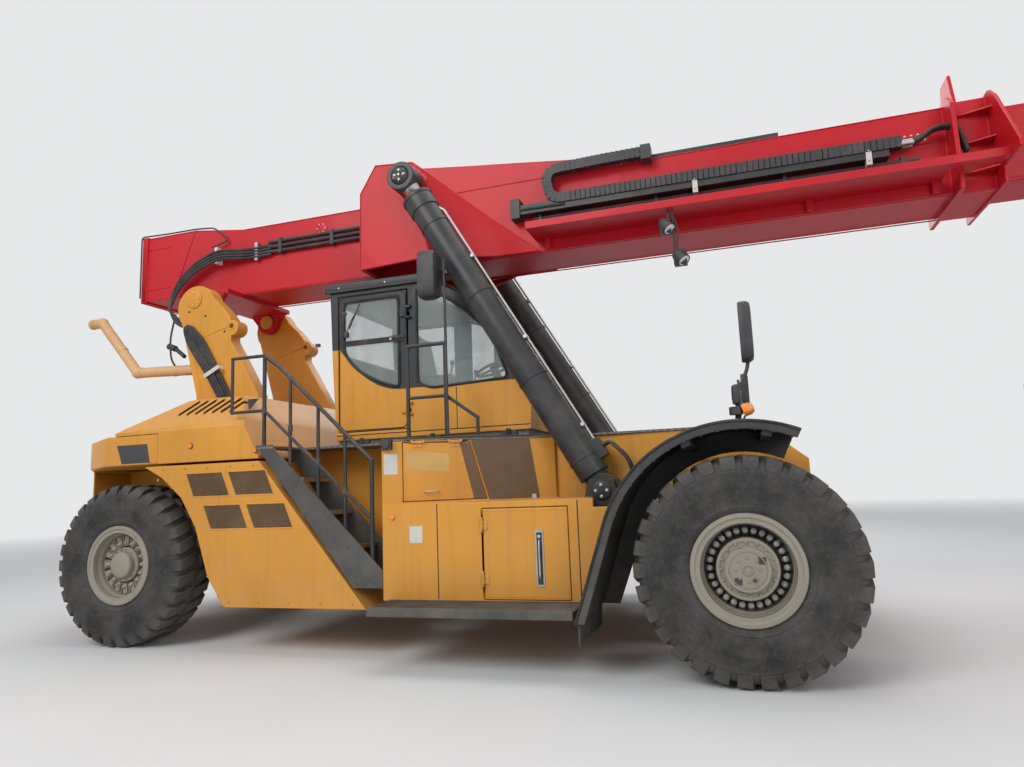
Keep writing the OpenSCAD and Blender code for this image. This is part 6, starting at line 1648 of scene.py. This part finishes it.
class STACKER_OT_lines(bpy.types.Operator):
    """Run the boom's pipes, hoses and hose carrier"""

    bl_idname = "stacker.lines"
    bl_label = "Pipes and hoses"

    def execute(self, context):
        r = context.scene.stacker_sizes.hose
        boom = Stock()
        # Drag chain: a run against the boom's side, a loop at its rear and a run back over the boom's top
        path = rounded([at(1.58, -0.44, 4.345), at(-1.66, -0.44, 4.345), at(-1.68, -0.46, 4.655),
                        at(-1.1, -0.455, 4.672), at(-0.68, -0.44, 4.68)], 0.17, 10)
        boom.chain(path, 3, Pitch=0.05, Width=0.09, Depth=0.105)
        for k, y in enumerate((-0.40, -0.435, -0.47)):
            z = 4.32 + 0.03 * (k % 2)
            boom.bent([at(1.5, y, z), at(1.72, y, z), at(1.88, y - 0.02, 4.43), at(2.04, y - 0.04, 4.40),
                               at(2.1, y - 0.03, 4.16)], 0.13, r, 0)
            boom.rod(at(1.60, y, z), at(1.70, y, z), r * 1.35, 1, 12)
            boom.tube([at(-2.06, y, z - 0.04), at(-1.5, y, z - 0.05)], r, 0)
        boom.slab(at(-2.08, -0.49, 4.19), at(-1.98, -0.345, 4.40), 3)
        boom.slab(at(-0.70, -0.49, 4.60), at(-0.60, -0.335, 4.75), 2)
        boom.slab(at(-0.62, -0.34, 4.648), at(0.60, -0.28, 4.695), 2)
        # White clamps of the boom's pipes
        for x in (-0.2, 1.33):
            boom.slab(at(x - 0.024, -0.482, 4.17), at(x + 0.024, -0.40, 4.335), 4)
            bolts_along(boom, at(x, -0.482, 4.21), at(x, -0.482, 4.30), (0, -1, 0), 2, 1, 0.008, 0.008)
        # Bundle over the facet, from the bracket down to the pivot, and the lead along the rear edge
        boom.slab(at(-5.34, -0.40, 4.22), at(-5.30, -0.35, 4.44), 1)
        boom.slab(at(-5.84, -0.50, 4.22), at(-5.80, -0.40, 4.42), 4)
        for k in range(4):
            low = 0.035 * k
            boom.bent([at(-5.12, -0.38, 4.38 - low), at(-5.45, -0.40, 4.36 - low),
                               at(-5.80, -0.50, 4.38 - low), at(-6.07, -0.575, 4.22 - low),
                               at(-6.27, -0.60, 4.03 - low), at(*PIVOT_HOSE[0]) - Vector((0, 0, low))], 0.14, r, 0)
        boom.bent([at(-6.905, -0.55, 3.9), at(-6.905, -0.55, 4.685), at(-6.53, -0.55, 4.672),
                           at(-6.08, -0.535, 4.675), at(-5.87, -0.475, 4.68), at(-5.70, -0.42, 4.52),
                           at(-5.88, -0.50, 4.42)], 0.05, 0.009, 0)
        for z in (4.1, 4.16):
            boom.tube([at(-5.3, 0.37, z), at(1.6, 0.37, z)], r, 2)
        for x in (-5.0, -4.2, -1.5, -0.4, 0.8, 1.5):
            boom.box(at(x - 0.02, 0.338, 4.06), at(x + 0.02, 0.395, 4.2), 1)
        boom.make("boom_lines", "boom", "black_paint", "hose", "steel", "black", "plastic", "white_film")
        # Bundle that crosses the pivot, the bundles down the tower's face and the loops behind it
        for k in range(4):
            cross, off = Stock(), 0.03 * k
            start = at(*PIVOT_HOSE[0]) - Vector((0, 0, 0.035 * k))
            cross.bent([start, at(-6.33, -0.66 - off * 0.3, 3.66), at(-6.20 + off, -0.71, 3.48),
                                at(*PIVOT_HOSE[1]) + Vector((off, -off * 0.3, 0))], 0.2, r, 0)
            piece = cross.make(f"pivot_hose_{k + 1}", None, "black_paint", "hose")
            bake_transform(piece)
        fixed = Stock()
        for k in range(4):
            off = 0.03 * k
            fixed.bent([at(*PIVOT_HOSE[1]) + Vector((off, -off * 0.3, 0)), at(-5.79 + off, -0.825, 3.22),
                                at(-5.66 + off, -0.825, 3.0), at(-5.56 + off, -0.825, 2.82),
                                at(-5.43 + off, -0.825, 2.6), at(-5.34 + off, -0.80, 2.36)], 0.1, r, 0)
            fixed.bent([at(-6.02 + off, -0.60, 3.50), at(-6.0 + off, -0.80, 3.38), at(-5.87 + off, -0.845, 3.14),
                                at(-5.71 + off, -0.85, 2.93), at(-5.6 + off, -0.85, 2.78),
                                at(-5.47 + off, -0.84, 2.55), at(-5.36 + off, -0.80, 2.36)], 0.12, r * 0.85, 0)
        fixed.bent([at(-6.24, -0.66, 3.6), at(-6.30, -0.68, 3.3), at(-6.27, -0.68, 3.02), at(-6.08, -0.70, 2.88),
                            at(-5.9, -0.72, 2.98), at(-5.92, -0.72, 3.2), at(-6.0, -0.70, 3.36)], 0.12, 0.011, 0)
        fixed.rod(at(-6.29, -0.70, 3.21), at(-6.19, -0.70, 3.17), 0.036, 3, 16)
        fixed.rod(at(-6.19, -0.70, 3.17), at(-6.04, -0.72, 3.06), 0.024, 3, 16)
        place = lay(at(-5.62, -0.875, 2.77), at(-5.42, -0.875, 2.87) - at(-5.62, -0.875, 2.77), (0, -1, 0))
        fixed.box((0, -0.022, 0), (0.22, 0.022, 0.006), 4, place)
        for a in (0.004, 0.206):
            fixed.box((a, -0.022, -0.08), (a + 0.01, 0.022, 0.002), 4, place)
        fixed.make("tower_hoses", "chassis", "black_paint", "hose", "steel", "zinc", "plastic", "white_film")
        return {"FINISHED"}


class STACKER_OT_cylinders(bpy.types.Operator):
    """Fit gland rings, pins, lubrication lines and hoses to the lift cylinders"""

    bl_idname = "stacker.cylinders"
    bl_label = "Lift cylinders"

    def execute(self, context):
        r = context.scene.stacker_sizes.hose
        for name, side in SIDES.items():
            low, high = at(*LIFT_FOOT), at(*LIFT_EYE)
            low.y, high.y = side * low.y, side * high.y
            along = (high - low).normalized()
            length = (high - low).length
            back = Vector((along.z, 0, -along.x))
            part = Stock()
            top = length - 0.29
            part.lathe([(0.11, 0), (0.163, 0), (0.163, 0.03), (0.158, 0.036), (0.11, 0.036)], low + along * top, along,
                       48, 0)
            bolts_round(part, low + along * (top + 0.034), along, 0.137, 12, 1, 0.011, 0.012)
            part.lathe([(0.088, 0), (0.104, 0), (0.1, 0.02), (0.088, 0.022)], low + along * (top + 0.036), along, 36, 2)
            for d in (0.32, 1.2, 2.2, 3.1):
                part.lathe([(0.144, 0), (0.151, 0), (0.151, 0.03), (0.144, 0.03)], low + along * d, along, 48, 0)
            # Steel line along the barrel, valve block and hoses at the foot
            line = [low + along * d + back * 0.168 for d in (0.42, 3.2)]
            part.tube([low + along * 0.38 + back * 0.14, line[0], line[1], low + along * 3.26 + back * 0.14], 0.014, 3)
            for d in (0.6, 1.6, 2.6):
                spot = low + along * d + back * 0.16
                part.tube([spot - Vector((0, 0.04, 0)), spot + Vector((0, 0.04, 0))], 0.02, 1, 8)
            block = lay(low + along * 0.34 + back * 0.12, (0, 1, 0), back)
            part.box((-0.07, -0.09, 0), (0.07, 0.09, 0.09), 0, block)
            for y in (-0.04, 0.04):
                start = low + along * 0.34 + back * 0.2 + Vector((0, y, 0))
                part.bent([start, start + back * 0.08, low + back * 0.34 + along * 0.12 + Vector((0, y, 0)),
                                   low + back * 0.25 - along * 0.1 + Vector((0, y - side * 0.1, 0))], 0.09, r, 2)
            part.make("barrel_fittings_" + name, "lift_barrel_" + name, "black_paint", "black", "zinc", "hose", "steel",
                      soften=0.002)
            pin = Stock()
            pin.cap(0.085, 0.02, low + Vector((0, side * 0.155, 0)), (0, side, 0), 36, 0)
            bolts_round(pin, low + Vector((0, side * 0.175, 0)), (0, side, 0), 0.05, 4, 1, 0.012, 0.012)
            pin.make("foot_pin_" + name, "chassis", "black_paint", "black", "zinc", soften=0.002)
            eye = Stock()
            eye.lathe([(0.10, 0), (0.148, 0), (0.148, 0.012), (0.14, 0.016), (0.10, 0.016)],
                      high + Vector((0, side * 0.115, 0)), (0, side, 0), 48, 0)
            bolts_round(eye, high + Vector((0, side * 0.147, 0)), (0, side, 0), 0.05, 4, 1, 0.012, 0.012)
            eye.tube([high + Vector((0, side * 0.147, 0)), high + Vector((0, side * 0.16, 0))], 0.012, 1, 10)
            eye.make("eye_cover_" + name, "lift_rod_" + name, "black_paint", "black", "zinc", soften=0.002)
        return {"FINISHED"}


# Spreader


class STACKER_OT_spreader(bpy.types.Operator):
    """Fit the slewing ring, motors, cylinders, hoses, guides and twistlocks of the spreader"""

    bl_idname = "stacker.spreader"
    bl_label = "Spreader fittings"

    def execute(self, context):
        r = context.scene.stacker_sizes.hose
        cx = spreader_x
        hanger = Stock()
        bolts_round(hanger, at(cx, 0, 2.81), (0, 0, 1), 0.43, 36, 1, 0.014, 0.016)
        for side in (RIGHT, LEFT):
            hanger.prism([(front_axle.x + cx - 0.3, 2.81), (front_axle.x + cx + 0.3, 2.81),
                          (front_axle.x + cx + 0.135, 3.12), (front_axle.x + cx - 0.135, 3.12)],
                         side * 0.2, side * 0.225, "Y", 0)
            hanger.rod(at(cx - 0.26, side * 0.33, 2.81), at(cx - 0.26, side * 0.33, 3.03), 0.085, 2, 28)
            hanger.rod(at(cx - 0.26, side * 0.33, 3.03), at(cx - 0.26, side * 0.33, 3.10), 0.05, 2, 24)
            bolts_round(hanger, at(cx - 0.26, side * 0.33, 3.03), (0, 0, 1), 0.068, 6, 1, 0.009, 0.01)
            for k in (-1, 1):
                hanger.bent([at(cx - 0.26 + 0.03 * k, side * 0.33, 3.09), at(cx - 0.26 + 0.03 * k, side * 0.33,
                            3.2), at(cx - 0.16 + 0.03 * k, side * 0.262, 3.3), at(cx - 0.14, side * 0.255, 3.0)], 0.06,
                            r * 0.8, 3)
        hanger.cap(0.15, 0.03, at(cx, -0.244, 3.6), (0, 1, 0), 36, 0)
        hanger.make("hanger_fittings", "hanger", "red_paint", "red", "zinc", "black", "hose", soften=0.003)
        carriage = Stock()
        tooth = Stock()
        tooth.prism([(0.468, -0.012), (0.486, -0.007), (0.486, 0.007), (0.468, 0.012)], 0.01, 0.085, "Y")
        gear = rule("ring").run(tooth.mesh("tooth"), Count=96)
        carriage.take(gear, Matrix.Translation(at(cx, 0, 2.64)) @ Matrix.Rotation(math.radians(90), 4, "X"), 1)
        for side in (RIGHT, LEFT):
            for x in (-0.36, 0.36):
                carriage.slab(at(cx + x - 0.05, side * 0.597, 2.45), at(cx + x + 0.05, side * 0.622, 2.61), 0)
                bolts_along(carriage, at(cx + x, side * 0.622, 2.48), at(cx + x, side * 0.622, 2.58), (0, side, 0), 2,
                            1, 0.012, 0.012)
            carriage.rod(at(cx - 0.2 * side, side * 0.5, 2.63), at(cx - 0.2 * side, side * 0.5, 2.71), 0.05, 2, 24)
        carriage.make("carriage_fittings", "carriage", "red_paint", "red", "steel", "black", soften=0.002)
        beam = Stock()
        z0, z1 = 2.049, 2.429
        for s in (-1, 1):
            for side in (RIGHT, LEFT):
                face = cx + s * 0.55
                for y in (0.35, 1.0, 1.7, 2.25):
                    beam.slab(at(face - 0.002 * s, side * (y - 0.012), z0 + 0.03),
                                          at(face + 0.02 * s, side * (y + 0.012), z1 - 0.03), 0)
                beam.slab(at(cx + s * 0.30, side * 2.30, z0 - 0.012), at(cx + s * 0.56, side * 2.352,
                                                                              z1 + 0.012), 0)
                bolts_along(beam, at(face, side * 2.31, z0 + 0.05), at(face, side * 2.31, z1 - 0.05), (s, 0, 0), 4, 1,
                            0.012, 0.012)
        # Telescoping cylinders between the beams, valve block and hose guides
        for side in (RIGHT, LEFT):
            beam.rod(at(cx + side * 0.12, side * 0.5, 2.27), at(cx + side * 0.12, side * 1.45, 2.27), 0.055, 2, 24)
            beam.rod(at(cx + side * 0.12, side * 0.46, 2.27), at(cx + side * 0.12, side * 0.5, 2.27), 0.065, 2, 24)
        beam.box(at(cx - 0.14, -0.2, 2.3), at(cx + 0.14, 0.2, 2.41), 2)
        for k in range(5):
            y = -0.16 + 0.08 * k
            beam.bent([at(cx + 0.13, y, 2.36), at(cx + 0.22, y, 2.36), at(cx + 0.24, y * 2, 2.26),
                               at(cx + 0.24, y * 3, 2.12)], 0.06, r * 0.8, 3)
        for y in (-1.9, 1.9):
            beam.box(at(cx - 0.3, y - 0.05, z1 - 0.002), at(cx + 0.3, y + 0.05, z1 + 0.006), 0)
        beam.make("spreader_fittings", "spreader", "red_paint", "red", "zinc", "black", "hose", soften=0.003)
        for name, side in SIDES.items():
            end = Stock()
            y = side * 2.927
            for x in (-1.13, 1.13):
                lock = at(cx + x, y, z0 - 0.17)
                end.lathe([(0.03, 0), (0.075, 0), (0.075, 0.02), (0.065, 0.03), (0.03, 0.03)],
                          lock - Vector((0, 0, 0.028)), (0, 0, 1), 32, 1)
                end.prism([(lock.x - 0.052, lock.y - 0.028), (lock.x + 0.052, lock.y - 0.028), (lock.x + 0.052,
                          lock.y + 0.028), (lock.x - 0.052, lock.y + 0.028)], lock.z - 0.108, lock.z - 0.058, "Z", 1)
                # Corner guides, lock cylinders and lamps
                out = 1 if x > 0 else -1
                end.prism([(lock.x + out * 0.099, z0 + 0.08), (lock.x + out * 0.109, z0 + 0.08),
                           (lock.x + out * 0.109, z0 - 0.2), (lock.x + out * 0.103, z0 - 0.26),
                           (lock.x + out * 0.095, z0 - 0.2)], y - 0.1, y + 0.1, "Y", 0)
                end.rod(at(cx + x - out * 0.2, y, z1 + 0.03), at(cx + x - out * 0.62, y, z1 + 0.03), 0.035, 2, 20)
                end.rod(at(cx + x - out * 0.08, y, z1 + 0.03), at(cx + x - out * 0.2, y, z1 + 0.03), 0.016, 4, 16)
                end.rod(at(cx + x, y, z1 - 0.002), at(cx + x, y, z1 + 0.05), 0.045, 1, 24)
                end.bent([at(cx + x - out * 0.6, y - side * 0.03, z1 + 0.05), at(cx + x - out * 0.75, y - side *
                         0.06, z1 + 0.09), at(cx + x - out * 0.9, y - side * 0.05, z1 + 0.02)], 0.06, r * 0.7, 3)
            end.slab(at(cx - 0.6, side * 3.02, z0 + 0.1), at(cx + 0.6, side * 3.036, z1 - 0.08), 5)
            end.make("end_beam_fittings_" + name, "end_" + name, "red_paint", "red", "steel", "black", "hose",
                     "chrome", "white_film", soften=0.002)
        return {"FINISHED"}


# Stage


def stage_floor():
    """A pale floor that fades into the background far from the machine."""
    b = Board("floor")
    far = b.node("ShaderNodeVectorMath", {"operation": "LENGTH"}, {0: b.scaled(b.where, 1, 1, 0)}, out=1)
    grain = b.noise(0.7, 3, 0.5)
    material = b.finish(colour=b.blend((0.66, 0.66, 0.655), (0.72, 0.72, 0.715), grain), roughness=0.85)
    clear = b.tree.nodes.new("ShaderNodeBsdfTransparent")
    mixed = b.tree.nodes.new("ShaderNodeMixShader")
    b.feed(mixed.inputs[0], far.from_to(13.0, 34.0))
    b.tree.links.new(b.shader.outputs[0], mixed.inputs[1])
    b.tree.links.new(clear.outputs[0], mixed.inputs[2])
    b.tree.links.new(mixed.outputs[0], b.tree.nodes["Material Output"].inputs[0])
    return material


class STACKER_OT_stage(bpy.types.Operator):
    """Set up the floor, the studio light and the camera of the photograph"""

    bl_idname = "stacker.stage"
    bl_label = "Stage"

    def execute(self, context):
        scene = context.scene
        scene.view_settings.view_transform = "Standard"
        mesh = bpy.data.meshes.new("floor")
        steps = 64
        mesh.from_pydata([(36 * math.cos(2 * math.pi * k / steps), 36 * math.sin(2 * math.pi * k / steps), -0.001)
                          for k in range(steps)], [], [tuple(range(steps))])
        floor = bpy.data.objects.new("floor", mesh)
        scene.collection.objects.link(floor)
        mesh.materials.append(stage_floor())
        world = bpy.data.worlds.new("studio")
        scene.world = world
        world.use_nodes = True
        tree = world.node_tree
        back = tree.nodes["Background"]
        back.inputs[0].default_value = (0.80, 0.84, 0.90, 1)
        back.inputs[1].default_value = 0.42
        seen = tree.nodes.new("ShaderNodeBackground")
        seen.inputs[0].default_value = (0.80, 0.805, 0.81, 1)
        rays = tree.nodes.new("ShaderNodeLightPath")
        add = tree.nodes.new("ShaderNodeMath")
        add.operation, add.use_clamp = "ADD", True
        both = tree.nodes.new("ShaderNodeMath")
        both.operation, both.use_clamp = "ADD", True
        mixed = tree.nodes.new("ShaderNodeMixShader")
        tree.links.new(rays.outputs["Is Camera Ray"], add.inputs[0])
        tree.links.new(rays.outputs["Is Glossy Ray"], add.inputs[1])
        tree.links.new(add.outputs[0], both.inputs[0])
        tree.links.new(rays.outputs["Is Transmission Ray"], both.inputs[1])
        tree.links.new(both.outputs[0], mixed.inputs[0])
        tree.links.new(back.outputs[0], mixed.inputs[1])
        tree.links.new(seen.outputs[0], mixed.inputs[2])
        tree.links.new(mixed.outputs[0], tree.nodes["World Output"].inputs[0])
        for name, spot, aim, size, power in (
                ("key", (-6, -13, 11), (0, 0, 1.8), 9, 1350), ("fill", (9, -12, 6), (0, 0, 2), 8, 520),
                ("top", (0, 1, 15), (0, 0, 0), 12, 800), ("rim", (-4, 14, 9), (0, 0, 2.5), 9, 800)):
            light = bpy.data.lights.new(name, "AREA")
            light.shape, light.size, light.energy = "DISK", size, power
            lamp = bpy.data.objects.new(name, light)
            scene.collection.objects.link(lamp)
            lamp.location = spot
            lamp.rotation_euler = (Vector(aim) - Vector(spot)).to_track_quat("-Z", "Y").to_euler()
        yaw, pitch, roll = (math.radians(a) for a in (17.74, 8.13, -2.26))
        ahead = Vector((-math.sin(yaw) * math.cos(pitch), math.cos(yaw) * math.cos(pitch), math.sin(pitch)))
        flat = Vector((math.cos(yaw), math.sin(yaw), 0))
        up = flat.cross(ahead)
        right = flat * math.cos(roll) + up * math.sin(roll)
        up = up * math.cos(roll) - flat * math.sin(roll)
        data = bpy.data.cameras.new("photograph")
        data.sensor_width, data.lens = 36, 24.89
        camera = bpy.data.objects.new("photograph", data)
        scene.collection.objects.link(camera)
        place = Matrix((right, up, -ahead)).transposed().to_4x4()
        place.translation = at(0.03, -7.26, 1.44)
        camera.matrix_world = place
        scene.camera = camera
        return {"FINISHED"}


# The add-on's panel and its registration

STEPS = [STACKER_OT_paint, STACKER_OT_tyres, STACKER_OT_rims, STACKER_OT_axles, STACKER_OT_panels,
         STACKER_OT_grilles, STACKER_OT_steps, STACKER_OT_fenders, STACKER_OT_cab, STACKER_OT_seat,
         STACKER_OT_mirrors, STACKER_OT_tail, STACKER_OT_boom, STACKER_OT_lines, STACKER_OT_cylinders,
         STACKER_OT_spreader, STACKER_OT_stage]


class STACKER_PT_workshop(bpy.types.Panel):
    """Lists the steps that dress the machine"""

    bl_idname = "STACKER_PT_workshop"
    bl_label = "Reach stacker"
    bl_space_type = "VIEW_3D"
    bl_region_type = "UI"
    bl_category = "Stacker"

    def draw(self, context):
        for group in (context.scene.stacker_paint, context.scene.stacker_sizes):
            for name in group.__annotations__:
                self.layout.prop(group, name)
        for step in STEPS:
            self.layout.operator(step.bl_idname)


CLASSES = [StackerPaint, StackerSizes, *STEPS, STACKER_PT_workshop]


def register():
    for each in CLASSES:
        bpy.utils.register_class(each)
    bpy.types.Scene.stacker_paint = PointerProperty(type=StackerPaint)
    bpy.types.Scene.stacker_sizes = PointerProperty(type=StackerSizes)


def unregister():
    del bpy.types.Scene.stacker_sizes
    del bpy.types.Scene.stacker_paint
    for each in reversed(CLASSES):
        bpy.utils.unregister_class(each)


def main():
    """Builds every piece in order."""
    register()
    for step in STEPS:
        group, name = step.bl_idname.split(".")
        getattr(getattr(bpy.ops, group), name)()


if __name__ == "__main__":
    main()
